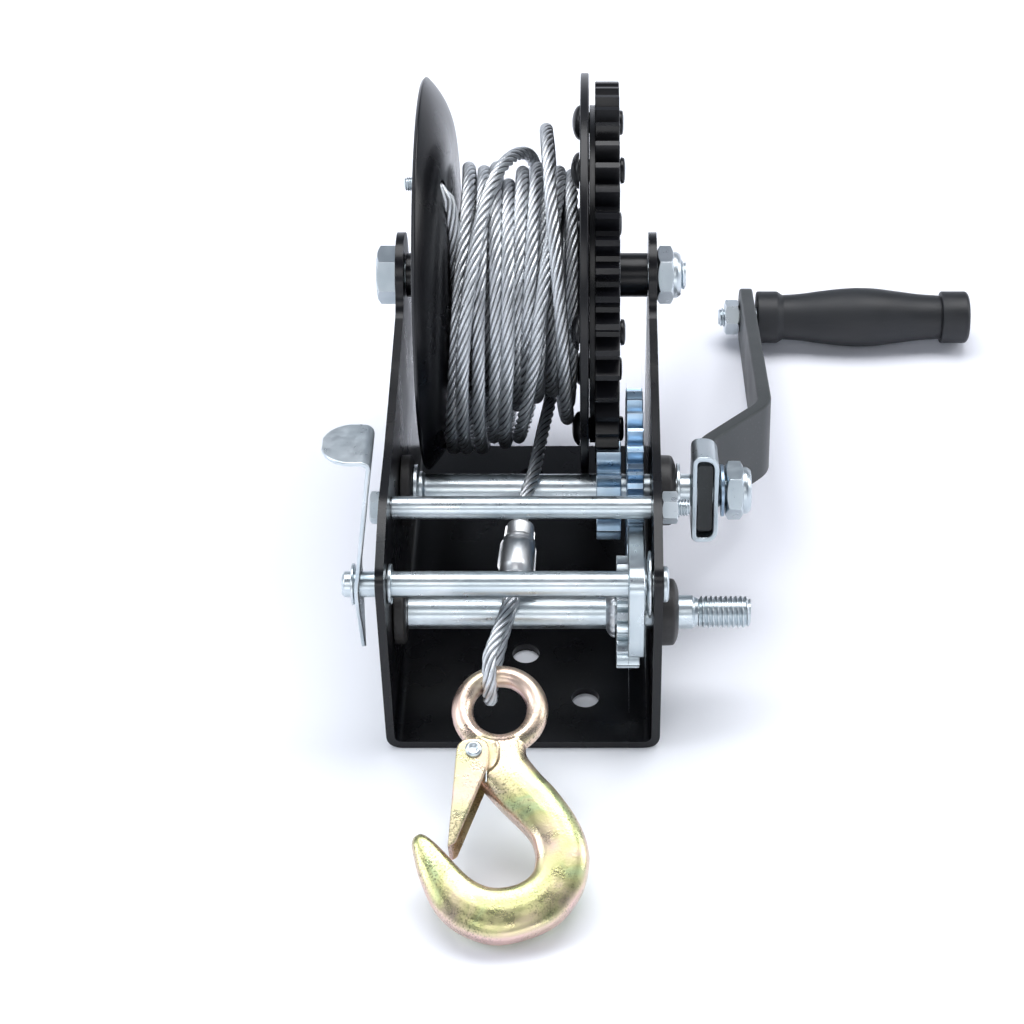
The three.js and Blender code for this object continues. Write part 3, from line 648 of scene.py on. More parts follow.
def piece(node, mesh, place=None, name=None, material=None, sharp=35, weighted=True, replaces=True):
    """A finished piece that stands for a CAD node, or goes with it, from a mesh in millimetres.

    place is a matrix, or the axle that the mesh is made about."""
    if isinstance(place, Vector):
        place = on_axle(place)
    mesh.transform(Matrix.Scale(MM, 4) @ (place or Matrix()))
    mesh.polygons.foreach_set("use_smooth", [True] * len(mesh.polygons))
    mesh.set_sharp_from_angle(angle=math.radians(sharp))
    name = name or f"{node}_finished"
    mesh.name = name
    made = linked(name, mesh)
    if weighted:
        made.modifiers.new("even_shading", "WEIGHTED_NORMAL").keep_sharp = True
    mesh.materials.clear()
    mesh.materials.append(material or MATERIALS[SLOTS[node]])
    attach(made, frame["nodes"][node]["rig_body"])
    if replaces:
        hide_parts(node)
    return made


def add_thread(node, name, place, low, high, radius, pitch):
    """A threaded length as a piece of its own, beside its CAD node."""
    piece(node, threaded(low, high, radius, pitch), place, name=name, replaces=False, weighted=False)


def add_ring(node, axle, inner, outer, edge=0.25):
    piece(node, tube(*ends(node), inner, outer, edge), axle)


def set_attribute(mesh, name, values):
    attribute = mesh.attributes.new(name, "FLOAT", "POINT")
    attribute.data.foreach_set("value", np.asarray(values, np.float32))


# ---- camera ----
def add_camera():
    data = bpy.data.cameras.new("camera")
    data.lens = 84.375
    data.sensor_width = 36
    data.shift_x = 0.5 - 595 / 1024
    data.clip_start = 0.01
    camera = linked("camera", data)
    camera.location = (0.0255, -0.6845, 0.613)
    camera.rotation_euler = (math.radians(50), 0, 0)
    bpy.context.scene.camera = camera


# ---- rope ----
ROPE_RADIUS = 2.5
LAY = 29.0
STRANDS = 6
FREE_STEP = 0.75
WOUND_STEP = 1.5
FERRULE_CENTRE = Vector((-1.7, FRONT + 39.4, 58.2))
FERRULE_AXIS = Vector((-0.073, -0.956, -0.285)).normalized()
FERRULE_RISE = Vector((0, -0.285, 0.956))
FERRULE_HALF = 11.0
ROPE_STOP = FERRULE_HALF + GAP


def rope_section():
    """The outline of six round strands that touch, and how deep each point lies in a groove."""
    strand = ROPE_RADIUS / 3
    middle = 2 * strand
    places, depths = [], []
    for index in range(STRANDS):
        for offset in (-29.5, -22, -12, 0, 12, 22):
            off = math.radians(offset)
            reach = middle * math.cos(off) + math.sqrt(max(0, strand**2 - (middle * math.sin(off)) ** 2))
            angle = FULL_TURN * index / STRANDS + off
            places.append((reach * math.cos(angle), reach * math.sin(angle)))
            depths.append((ROPE_RADIUS - reach) / (ROPE_RADIUS - middle * math.cos(math.pi / 6)))
    return np.array(places), np.array(depths)


def rope_mesh(points, spacing=WOUND_STEP):
    """Stranded rope along evenly spaced points."""
    section, depths = rope_section()
    twist = np.arange(len(points)) * spacing / LAY * FULL_TURN
    mesh = swept(points, section, twist, uv=True)
    set_attribute(mesh, "groove", np.tile(depths, len(points)))
    return mesh


def along_ferrule(distance, rise=0.0):
    return FERRULE_CENTRE + FERRULE_AXIS * distance + FERRULE_RISE * rise


def tail_route():
    return [
        (4.6, FRONT + 92.5, 60.7), (3.4, FRONT + 79.8, 62.1), (1.2, FRONT + 66, 63.5),
        along_ferrule(-ROPE_STOP - 6), along_ferrule(-ROPE_STOP),
    ]


def loop_route():
    spread, straight = 2.75, ROPE_STOP + 5
    return [
        along_ferrule(ROPE_STOP, spread), along_ferrule(straight, spread),
        (-5.6, FRONT + 11, 53.3), (-8.6, FRONT + 0.5, 51.8), (-10.4, FRONT - 6.3, 50.1),
        (-10.4, FRONT - 11.4, 45.7), (-10.4, FRONT - 12, 37.2), (-10.4, FRONT - 6.8, 31.7),
        (-10.2, FRONT + 0.9, 31.5), (-7.2, FRONT + 12.5, 40.5),
        along_ferrule(straight, -spread), along_ferrule(ROPE_STOP, -spread),
    ]


def add_free_rope():
    """The tail from the drum to the ferrule, and the loop that holds the hook's eye."""
    made = {}
    for node, route in (("rope_tail", tail_route()), ("rope_loop", loop_route())):
        points = smooth_path(route, FREE_STEP)
        made[node] = (piece(node, rope_mesh(points, FREE_STEP), **NOT_SHARP), points * MM)
    return made


def on_drum(degrees, x, radius):
    angle = math.radians(degrees)
    return Vector((x, DRUM.y + radius * math.cos(angle), DRUM.z + radius * math.sin(angle)))


def wound_path(keys, spacing):
    """Evenly spaced points of wound rope from (degrees round the drum, x, radius) keys."""
    degrees, xs, radii = (np.array(column, float) for column in zip(*keys))
    wanted = np.linspace(degrees[0], degrees[-1], max(2, int(abs(degrees[-1] - degrees[0]) / 4)))
    smooth = lambda values: eased(degrees, values, wanted)
    points = [on_drum(t, x, r) for t, x, r in zip(wanted, smooth(xs), smooth(radii))]
    return even(points, spacing)


def eased(places, values, wanted):
    """Values between keys, along a curve with no overshoot."""
    index = np.clip(np.searchsorted(places, wanted, side="right") - 1, 0, len(places) - 2)
    share = (wanted - places[index]) / (places[index + 1] - places[index])
    slopes = np.gradient(np.asarray(values, float), places)
    step = places[index + 1] - places[index]
    h00, h10 = 2 * share**3 - 3 * share**2 + 1, share**3 - 2 * share**2 + share
    h01, h11 = 3 * share**2 - 2 * share**3, share**3 - share**2
    first, second = np.asarray(values)[index], np.asarray(values)[index + 1]
    return h00 * first + h10 * step * slopes[index] + h01 * second + h11 * step * slopes[index + 1]


TOP, BOTTOM = 50, 230
FRONT_ANGLES = (TOP, 110, 170, BOTTOM)
# The outer turns from the rope's free end inwards. Each has its X at the four front angles, and how far
# it lies from the slack ring's own radius there.
SLACK_TURNS = [
    ((7.3, 9.5, 14.1, 15.0), (15, 9.5, 1.5, -11)), ((1.1, -12.3, -21.0, -22.8), (5.7, 5.5, 4.3, 0)),
    ((-21.7, -20.3, -23.8, -27.6), (0.6, 0, 0, 0)), ((-16.2, -14.8, -15.9, -17.0), (-0.9, 0, 0, 0)),
    ((-11.3, -10.4, -9.6, -12.4), (0.6, 0.3, -1.5, -4)), ((-7.0, -5.8, -5.3, -8.2), (-7.4, -1.5, 1.0, -2)),
    ((-1.6, -1.1, -2.6, -3.6), (-1.5, 0, -4.5, -16)), ((4.1, 3.8, 1.6, -1.5), (0, 0, -3.5, -17)),
    ((8.0, 7.6, 6.0, 3.5), (-4.5, -4.6, -8, -19)), ((11.8, 11.8, 4.8, -3.1), (-1.5, -0.5, 1.5, -4)),
    ((16.4, 17.0, 17.2, 15.5), (-2.6, -2.0, -11, -17)),
]


# Places of the rope as (degrees round the drum, x, radius): its free end outside the slack turns, its way
# down from them to the turns below, and its start, from a hole in the left flange to the barrel.
FREE_END = [
    (-144, 4.6, 69.2), (-138, 5.5, 62.4), (-118, 8, 50), (-97, 9.5, 45.6), (-70, 10.2, 46.5),
    (-40, 10, 49.5), (-10, 9, 52), (22, 8, 54),
]
WAY_DOWN = [(-90, 14.6, 43), (-40, 13.6, 37), (5, 12.4, 32.4), (50, 11.8, 31.6)]
ROPE_START = [
    (114, -30.6, 59), (115, -28.6, 58.3), (120, -26, 55), (127, -24.6, 51), (142, -24.3, 44.5),
    (164, -24.2, 37), (200, -24.1, 30), (250, -24, 25.5), (290, -24, 22.9),
]


def slack_radius(degrees, middle=52.0, swing=13.0):
    """The radius from the drum's axle of a slack turn, which hangs lowest at the front of the drum."""
    return middle - swing * math.cos(math.radians(degrees - TOP))


def slack_keys():
    keys = list(FREE_END)
    for index, (xs, lifts) in enumerate(SLACK_TURNS):
        start = 360 * index
        keys += [(start + a, x, slack_radius(a) + lift) for a, x, lift in zip(FRONT_ANGLES, xs, lifts)]
        if index + 1 < len(SLACK_TURNS):
            next_xs, next_lifts = SLACK_TURNS[index + 1]
            for degrees, share in ((275, 0.22), (320, 0.5), (365, 0.8)):
                x = xs[-1] + (next_xs[0] - xs[-1]) * share
                lift = lifts[-1] + (next_lifts[0] - lifts[-1]) * share
                keys.append((start + degrees, x, slack_radius(degrees) + lift))
    last = 360 * len(SLACK_TURNS)
    return keys + [(last + degrees, x, radius) for degrees, x, radius in WAY_DOWN]


def spiral_keys(turns, from_x, to_x, middle, swing, start=0):
    """Places of a layer of turns that goes once across the drum."""
    steps = turns * 8
    keys = []
    for step in range(steps + 1):
        share = step / steps
        degrees = start + 360 * turns * share
        keys.append((degrees, from_x + (to_x - from_x) * share, slack_radius(degrees, middle, swing)))
    return keys


def add_winding():
    """The rope on the drum: tight inner turns, and slack outer turns that cross and hang below them."""
    left, right = -23.9, 17.0
    inner = [spiral_keys(8, left, right, 22.7, 0), spiral_keys(8, right - 1, left + 1, 32.6, 5.4)]
    tubes = [swept(wound_path(keys, 2 * WOUND_STEP), round_section(ROPE_RADIUS, 10)) for keys in inner]
    piece("rope_winding", joined(*tubes), name="rope_inner_turns", **NOT_SHARP)

    middle_turns = spiral_keys(7, WAY_DOWN[-1][1], left + 2, 37.6, 6, TOP)
    ropes = [rope_mesh(wound_path(keys, WOUND_STEP)) for keys in (slack_keys(), middle_turns, ROPE_START)]
    piece("rope_winding", joined_rope(*ropes), name="rope_outer_turns", **NOT_SHARP)


def joined_rope(*meshes):
    """Rope meshes as one object, keeping their texture places and groove depths."""
    holders = [linked("rope", mesh) for mesh in meshes]
    with bpy.context.temp_override(active_object=holders[0], selected_editable_objects=holders):
        bpy.ops.object.join()
    mesh = holders[0].data
    bpy.data.objects.remove(holders[0])
    return mesh


def add_ferrule():
    """A pressed ferrule: a narrow neck, a stepped body with a ridge round it, and the flash of the press."""
    low, high = -FERRULE_HALF, FERRULE_HALF
    body = lathe([
        [low, 0], [low, 4.5, 0.3], [low + 0.7, 5.1, 0.5], [low + 5.9, 5.25, 0.5], [low + 6.5, 5.9, 0.4],
        [low + 7.6, 6.1, 0.4], [low + 8.2, 5.75, 0.4], [low + 9.0, 6.3, 0.5], [high - 2.6, 6.45, 1.2],
        [high, 5.3, 0.5], [high, 0],
    ], 72)
    for vertex in body.vertices:
        flat = 1 - 0.035 * math.cos(2 * math.atan2(vertex.co.z, vertex.co.y))
        vertex.co.y *= flat
        vertex.co.z *= flat
    flash = rounded([[low + 1.2, 4.6], [low + 1.6, 5.35, 0.3], [low + 7, 5.6, 0.5], [low + 9, 6.6, 0.8],
                     [high - 3, 6.85, 1], [high - 1.2, 5.4]])
    seams = [moved(prism(flash, -0.22, 0.22), Matrix.Rotation(turn, 4, "X")) for turn in (0, math.pi)]
    mesh = bevelled(fused(body, *seams), 0.12, 1, 35)
    turn = Vector((1, 0, 0)).rotation_difference(FERRULE_AXIS).to_matrix().to_4x4()
    return piece("ferrule", mesh, Matrix.Translation(FERRULE_CENTRE) @ turn)


# ---- hook ----
LATCH_PLACE = Matrix.Translation(LATCH_PIVOT)
# Stations from the neck to the tip: a place on the inside of the bend, one on the outside, and half the
# thickness.
HOOK_STATIONS = [
    (-8.6, -10.5, 8.6, -10.5, 4.6), (-8.9, -18.5, 9.2, -16.2, 5.1), (-7.4, -25.6, 9.9, -18.2, 5.5),
    (-4.1, -30.2, 11.4, -20.4, 5.8), (1, -36, 15, -24.9, 6), (5.5, -40.5, 19.3, -29.6, 6),
    (10.5, -46.2, 25.7, -38.7, 6), (12.3, -50.6, 29.6, -47.6, 6), (12.6, -55.3, 30.5, -56.6, 6),
    (11.4, -59.8, 27.2, -67.3, 6), (7.1, -63, 18.2, -77.2, 6), (0.9, -64.3, 1.8, -82.6, 6),
    (-4.3, -63.3, -11.3, -79.1, 5.8), (-9.7, -59.8, -20, -71.5, 5.4), (-16.8, -52.2, -25.6, -59.8, 4.8),
    (-20.5, -48.4, -27.4, -53.2, 4.2), (-22.9, -46.4, -28.3, -49.2, 3.6), (-25, -45.1, -27.9, -46.6, 2.4),
]


def forged_bend():
    """The hook's bend: a rounded section carried from the neck to the tip."""
    places = np.arange(len(HOOK_STATIONS), dtype=float)
    wanted = np.linspace(0, places[-1], 5 * (len(places) - 1) + 1)
    inner_x, inner_y, outer_x, outer_y, half = (
        eased(places, column, wanted) for column in np.array(HOOK_STATIONS).T
    )
    sides, power = 40, 2 / 3.7
    vertices = []
    for ix, iy, ox, oy, thick in zip(inner_x, inner_y, outer_x, outer_y, half):
        for side in range(sides):
            angle = FULL_TURN * side / sides
            across = math.copysign(abs(math.cos(angle)) ** power, math.cos(angle))
            up = math.copysign(abs(math.sin(angle)) ** power, math.sin(angle))
            crown = 1 - 0.16 * max(0.0, across) ** 2 - 0.05 * max(0.0, -across)
            share = (across + 1) / 2
            vertices.append((ix + (ox - ix) * share, iy + (oy - iy) * share, thick * up * crown))
    return outward(mesh_from(vertices, tube_faces(len(wanted), sides)))


def torus(radius, section_radius, around=96, sides=32, flat=1.0):
    angles = [FULL_TURN * step / around for step in range(around)]
    vertices = []
    for a in angles:
        for side in range(sides):
            b = FULL_TURN * side / sides
            reach = radius + section_radius * math.cos(b)
            vertices.append((reach * math.cos(a), reach * math.sin(a), section_radius * flat * math.sin(b)))
    faces = [[i * sides + s, ((i + 1) % around) * sides + s, ((i + 1) % around) * sides + (s + 1) % sides,
              i * sides + (s + 1) % sides] for i in range(around) for s in range(sides)]
    return mesh_from(vertices, faces)


def latch_bore(radius, low=-10, high=10, steps=64):
    """A cutter round the latch's pivot."""
    return moved(prism(circle(radius, steps=steps), low, high), LATCH_PLACE)


def hook_mesh():
    """The bend and the eye melted into one, with a flat for the latch on each side and its rivet's hole."""
    eye_radius, ring = 12.8, 3.72
    eye_room = prism(circle(eye_radius, steps=64), -10, 10)
    bend = boolean(forged_bend(), eye_room, latch_bore(8.6, 4.3, 9), latch_bore(8.6, -9, -4.3))
    forging = evaluated(
        joined(bend, torus(eye_radius, ring, flat=1.02)),
        ("REMESH", {"mode": "VOXEL", "voxel_size": 0.42, "use_smooth_shade": True}),
        ("SMOOTH", {"factor": 0.5, "iterations": 7}),
    )
    return boolean(forging, latch_bore(2.1, steps=32))


def tilt_attribute(mesh, least=0.0):
    """How far each point's surface turns away from the hook's flat side. The eye counts as turned away."""
    normals_z = np.array([vertex.normal.z for vertex in mesh.vertices])
    in_eye = np.clip([(vertex.co.y + 15) / 6 for vertex in mesh.vertices], 0, 1)
    set_attribute(mesh, "tilt", np.maximum(1 - np.abs(normals_z), least + 0.5 * in_eye))


def add_hook():
    body = hook_mesh()
    tilt_attribute(body)
    hook = piece("hook", body, HOOK_PLACE, weighted=False, sharp=60)

    return [hook, add_latch(), add_latch_rivet(), add_latch_spring()]


def add_latch():
    """A folded sheet latch: two wings and the back that joins them over the hook's neck."""
    wing = rounded([
        [-13.9, -13.4, 4.6], [-2.9, -13.0, 5.0], [-3.1, -23, 3], [-13.5, -50.5, 0.8], [-16, -51.9, 0.8],
    ], steps=8)
    pocket = rounded([[-12.6, -8], [8, -8], [8, -57], [-15.1, -57]])
    shell = boolean(plate([wing], -7.3, 7.3, 0.75, 3), prism(pocket, -6.35, 6.35), latch_bore(2.1, steps=32))
    shell = bevelled(shell, 0.16, 2, 40)
    tilt_attribute(shell, 0.3)
    return piece("hook_latch", shell, HOOK_PLACE)


def add_latch_rivet():
    """A hollow rivet, flared at both ends."""
    half = [[7.5, 2.0], [7.5, 2.95, 0.3], [8.25, 2.85, 0.4], [8.8, 2.2, 0.3], [8.7, 1.4, 0.2],
            [8.2, 1.1, 0.2], [8.1, 0]]
    profile = [[-x, *rest] for x, *rest in half[::-1]] + half
    turned = LATCH_PLACE @ Matrix.Rotation(-math.pi / 2, 4, "Y")
    return piece("latch_rivet", moved(lathe(profile, 48), turned), HOOK_PLACE)


def add_latch_spring():
    """A coil round the rivet, with one leg to the hook's neck and one along the latch."""
    turns, radius, start, steps = 1.35, 3.4, -0.4, 36
    low, rise, top = 4.75, 1.25, 5.9
    coil = []
    for step in range(steps + 1):
        angle = start - FULL_TURN * turns * step / steps
        place = Vector((radius * math.cos(angle), radius * math.sin(angle), low + rise * step / steps))
        coil.append(LATCH_PIVOT + place)
    neck_leg = [LATCH_PIVOT + Vector((4.2, -10.7, low)), LATCH_PIVOT + Vector((4.0, -5.2, low))]
    latch_leg = [LATCH_PIVOT + Vector((-3.6, -8, top)), Vector((-12, -34, top))]
    wire = swept(smooth_path([*neck_leg, *coil, *latch_leg], 0.35), round_section(0.4, 10))
    return piece("latch_spring", wire, HOOK_PLACE, **NOT_SHARP)


# ---- frame and fixed pieces ----
# Metric threads: the radius and the pitch.
M5, M6, M8, M12 = (2.5, 0.8), (3, 1.0), (4, 1.25), (6, 1.75)
# The radii of holes.
AXLE_HOLE, TIE_HOLE, PAWL_HOLE, BUSH_HOLE, BASE_HOLE = 6.3, 3.3, 4.8, 8.3, 5
BETWEEN_PLATES = -PLATE_INNER + GAP, PLATE_INNER - GAP


def frame_mesh():
    half, inside, bend, top = PLATE_OUTER, PLATE_INNER, 6, 130
    channel = rounded([
        [-half, 0, bend], [half, 0, bend], [half, top], [inside, top], [inside, SHEET, bend - SHEET],
        [-inside, SHEET, bend - SHEET], [-inside, top], [-half, top],
    ], steps=8)
    lug = arc(DRUM.y, DRUM.z, 16, math.pi - 0.38, -0.1, 28)
    side = rounded([
        [FRONT, 0], [FRONT, 79, 5.7], [FRONT + 29, 89, 6], [FRONT + 58, 89, 6], [FRONT + 96, 93, 8],
        [FRONT + 131.5, 98.5, 7.5],
    ], closed=False, steps=8)[:-1]
    side += rounded([
        [FRONT + 126, 97], [FRONT + 131.5, 98.5, 5.8], [FRONT + 133.8, 107.3],
    ], closed=False, steps=8)[1:-1]
    side += lug
    side += rounded([
        [FRONT + 164.4, 99.7], [FRONT + 166, 55, 12], [BACK, 40, 13], [BACK, 0], [FRONT, 0],
    ], closed=False, steps=8)[1:-1]
    body = moved(prism(channel, -BACK, -FRONT), ALONG_Y)
    plates = moved(prism(side, -half - 1, half + 1), ACROSS_X)
    body = boolean(body, plates, how="INTERSECT")

    def bore(axle, radius):
        return moved(prism(circle(radius, axle.y, axle.z), -half - 2, half + 2), ACROSS_X)

    def base_hole(x, from_front):
        return prism(circle(BASE_HOLE, x, FRONT + from_front), -1, SHEET + 1)

    body = boolean(
        body, bore(DRUM, AXLE_HOLE), bore(UPPER, BUSH_HOLE), bore(LOWER, BUSH_HOLE), bore(TIE, TIE_HOLE),
        bore(PAWL, PAWL_HOLE),
        base_hole(22, 22.5), base_hole(0, 45.6), base_hole(0, 150),
    )
    return bevelled(body, 0.42, 2, 40)


def add_fixed_pieces():
    piece("frame", frame_mesh())
    clear = PLATE_OUTER + GAP

    head = hexed(19, -clear - 7.2, -clear, chamfer_high=False)
    piece("drum_axle_bolt", fused(head, cylinder(-clear - 0.5, PLATE_OUTER + 8, 6)), DRUM)
    add_thread("drum_axle_bolt", "drum_axle_thread", DRUM, PLATE_OUTER + 2, PLATE_OUTER + 11, *M12)
    add_lock_nut("drum_axle_nut", DRUM, 19, clear, clear + 9)
    piece("drum_axle_sleeve", tube(*BETWEEN_PLATES, AXLE_HOLE, 8.25), DRUM)

    for node, axle, flange, bore in (
        ("upper_bush_left", UPPER, 13.0, 5.3), ("lower_bush_left", LOWER, 11.5, 5.3),
        ("upper_bush_right", UPPER, 13.0, 6.3), ("lower_bush_right", LOWER, 12.0, 6.3),
    ):
        add_bush(node, axle, flange, bore)

    head = hexed(10, -clear - 4, -clear, chamfer_high=False)
    piece("tie_bolt", fused(head, cylinder(-clear - 0.5, 53, 3)), TIE)
    add_thread("tie_bolt", "tie_thread", TIE, 52.8, 58.6, *M6)
    piece("tie_nut", hexed(10, clear, clear + 5.6, TIE_HOLE), TIE)
    piece("tie_tube", tube(*BETWEEN_PLATES, TIE_HOLE, 4.0, 0.2), TIE)


def add_bush(node, axle, flange, bore):
    """A nylon bush: its body fills the plate's hole and its flange has a dished rim."""
    low, high = ends(node)
    plate_face = (-PLATE_INNER if "left" in node else PLATE_OUTER) + GAP
    corners = [[low, bore, 0.3], [low, 8, 0.4], [plate_face, 8], [plate_face, flange, 0.5]]
    if "left" in node:
        corners += [[high - 0.9, flange, 0.5], [high, flange - 1.4, 0.4], [high, bore + 1.4, 0.3],
                    [high - 0.5, bore, 0.2]]
    else:
        corners += [[high - 1.6, flange - 0.2, 0.9], [high - 0.4, flange - 2.6, 1.0],
                    [high, flange - 4.6, 0.5], [high, bore, 0.3]]
    piece(node, lathe(corners, 72, closed=True), axle)


def add_lock_nut(node, axle, across, low, high, bore=AXLE_HOLE):
    """A lock nut: a hexagon with a rolled collar that holds a nylon ring."""
    start = low + (high - low) * 0.68
    radius = across * 0.455
    collar = lathe([
        [start - 0.8, bore], [start - 0.8, radius], [high - 1.6, radius, 0.6],
        [high - 0.1, radius - 1.1, 0.6], [high, radius - 1.9, 0.2], [high - 0.8, radius - 2.0, 0.1],
        [high - 0.8, bore],
    ], 64, closed=True)
    piece(node, fused(hexed(across, low, start, bore), collar), axle)
    ring = tube(high - 1.7, high - 0.7, bore - 0.5, radius - 2.1, 0.15)
    piece(node, ring, axle, name=f"{node}_insert", material=NYLOC, replaces=False)


# ---- drum ----
FLANGE_SHEET = 2.1
HUB_FACE = -26.8
FLAT_RADIUS = 50.0
DRUM_BORE = 8.55
ANCHOR_RADIUS = middle_of("rope_anchor_nut").z - DRUM.z


def left_flange():
    arc_radius, steps = 32.2, 18
    rim = span("drum_flange_left")[1].z - DRUM.z
    arc_end = math.asin((rim - FLAT_RADIUS) / arc_radius)

    def curl(radius):
        return [[HUB_FACE - arc_radius + radius * math.cos(arc_end * i / steps),
                 FLAT_RADIUS + radius * math.sin(arc_end * i / steps)] for i in range(steps + 1)]

    outer, inner = curl(arc_radius - FLANGE_SHEET), curl(arc_radius)[::-1]
    outer[-1].append(0.6)
    inner[0].append(0.6)
    profile = [[HUB_FACE - FLANGE_SHEET, DRUM_BORE], *outer, *inner, [HUB_FACE, DRUM_BORE]]
    mesh = lathe(profile, 160, closed=True)
    anchor_place = Matrix.Translation((0, 0, ANCHOR_RADIUS))
    anchor_hole = moved(cylinder(HUB_FACE - 4, HUB_FACE + 2, 2.8), anchor_place)
    rope_place = Matrix.Translation(on_drum(114.5, 0, 58.6) - Vector((0, DRUM.y, DRUM.z)))
    rope_hole = moved(cylinder(HUB_FACE - 10, HUB_FACE + 2, 3.1), rope_place)
    return boolean(mesh, anchor_hole, rope_hole)


def gear_outline(module, teeth, addendum, phase):
    """A spur gear with involute flanks, one tooth centred on the phase angle."""
    pressure, backlash, flank_steps = math.radians(25), 0.09, 4
    pitch = module * teeth / 2
    base = pitch * math.cos(pressure)
    tip, root = pitch + addendum * module, pitch - 1.25 * module
    involute = lambda angle: math.tan(angle) - angle

    def half_angle(radius):
        return (math.pi / (2 * teeth) - backlash / pitch + involute(pressure)
                - involute(math.acos(min(1, base / radius))))

    start = max(root, base)
    radii = [root] if root < base else []
    radii += [start + (tip - start) * step / flank_steps for step in range(flank_steps + 1)]
    flank = [(radius, half_angle(radius)) for radius in radii]
    top = [(tip, flank[-1][1] * share) for share in (-0.4, 0.0, 0.4)]
    tooth = [(radius, -half) for radius, half in flank] + top + flank[::-1]
    points = []
    for index in range(teeth):
        centre = phase + FULL_TURN * index / teeth
        points += [Vector((r * math.cos(centre + a), r * math.sin(centre + a))) for r, a in tooth]
    return points


def gear(node, axle, module, teeth, phase, edge):
    outlines = [gear_outline(module, teeth, 1, phase), circle(6.1, steps=64)]
    piece(node, moved(plate(outlines, *ends(node), edge, 1), ACROSS_X), axle)


def angle_between(first, second):
    return math.atan2(second.z - first.z, second.y - first.y)


def rivet_mesh(head_face, head_rise, end):
    profile = [[head_face - head_rise, 0]]
    profile += [[head_face - head_rise * math.cos(a), 6.5 * math.sin(a)] for a in np.linspace(0.12, 1.5, 12)]
    profile += [[head_face, 6.5], [head_face, 4.0], [end, 4.0], [end, 4.75, 0.3], [end + 1.3, 4.5, 0.5],
                [end + 1.7, 2.6, 0.5], [end + 1.5, 0]]
    return lathe(profile, 48)


def add_drum():
    """The left flange, and the disc, gear and rivets that make up the right one."""
    piece("drum_flange_left", left_flange(), DRUM)
    rivets = [middle_of(f"drum_rivet_{index + 1}") - DRUM for index in range(6)]
    holes = [circle(DRUM_BORE, steps=64), *[circle(4.3, place.y, place.z, 32) for place in rivets]]

    def disc(outline, low, high, edge, rounds=1):
        return moved(plate([outline, *holes], low, high, edge, rounds), ACROSS_X)

    disc_low, disc_high = ends("drum_flange_right")
    rim = circle(span("drum_flange_right")[1].z - DRUM.z, steps=160)
    piece("drum_flange_right", disc(rim, disc_low, disc_high, 0.5, 2), DRUM)
    piece("drum_barrel", tube(HUB_FACE + GAP, disc_low - GAP, 18, 20), DRUM)

    gear_low, gear_high = ends("drum_gear")
    teeth_low = gear_high - 8.8
    toothed = disc(gear_outline(3, 46, 0.85, angle_between(DRUM, UPPER)), teeth_low, gear_high, 0.4)
    spacer = disc(circle(63, steps=120), gear_low, teeth_low + 0.6, 0.2)
    piece("drum_gear", joined(toothed, spacer), DRUM)

    for index, place in enumerate(rivets):
        rivet = rivet_mesh(disc_low - GAP, 3.0, gear_high + GAP)
        piece(f"drum_rivet_{index + 1}", rivet, DRUM + place)

    anchor = DRUM + Vector((0, 0, ANCHOR_RADIUS))
    piece("rope_anchor_bolt", threaded(-44, HUB_FACE - 0.1, *M5), anchor, weighted=False)
    nut_end = HUB_FACE - FLANGE_SHEET - GAP
    piece("rope_anchor_nut", hexed(8, nut_end - 4, nut_end, 2.8), anchor)


# ---- upper drive shaft and crank ----
def add_upper_shaft():
    """The shaft with its pinion, the reduction gear and the washers. A pinion's gap meets a gear's tooth."""
    low = ends("upper_shaft")[0]
    smooth = lathe([
        [low, 0], [low, 5, 0.4], [-39, 5], [-39, 7, 0.4], [-37.4, 7, 0.4], [-36.6, 6, 0.4], [60.3, 6, 0.3],
        [60.8, 5.7], [70, 5.7], [70, 0],
    ], 72)
    piece("upper_shaft", smooth, UPPER)
    add_thread("upper_shaft", "upper_shaft_thread", UPPER, 69.5, 82, 5.9, 1.75)
    gear("drum_pinion", UPPER, 3, 10, angle_between(DRUM, UPPER) + math.pi + math.pi / 10, 0.45)
    gear("reduction_gear", UPPER, 2.5, 28, angle_between(UPPER, LOWER), 0.4)
    add_ring("upper_washer_left", UPPER, 5.3, 9.5)
    add_ring("upper_washer_right", UPPER, 6.3, 10.0)
    add_spring_washer()
    add_lock_nut("crank_nut", UPPER, 19, *ends("crank_nut"), 6.0)


def add_spring_washer():
    """A split spring washer: a square wire turned once, with a gap between its two ends."""
    low = ends("crank_spring_washer")[0]
    steps, inner, outer, thick, lift = 72, 6.1, 9.6, 1.2, 0.5
    vertices = []
    for step in range(steps + 1):
        share = step / steps
        angle = 0.9 + math.radians(345) * share
        x = low + lift * share
        for u, radius in ((0, inner), (0, outer), (thick, outer), (thick, inner)):
            vertices.append((x + u, radius * math.cos(angle), radius * math.sin(angle)))
    washer = bevelled(outward(mesh_from(vertices, tube_faces(steps + 1, 4))), 0.15, 1, 50)
    piece("crank_spring_washer", washer, UPPER, material=MATERIALS["blue_zinc"])


CRANK_START = 62.9
BAR = 5.4
ARM_END = CRANK_START + 24.8
TO_GRIP = Matrix.Translation((0, CRANK_LENGTH, 0))


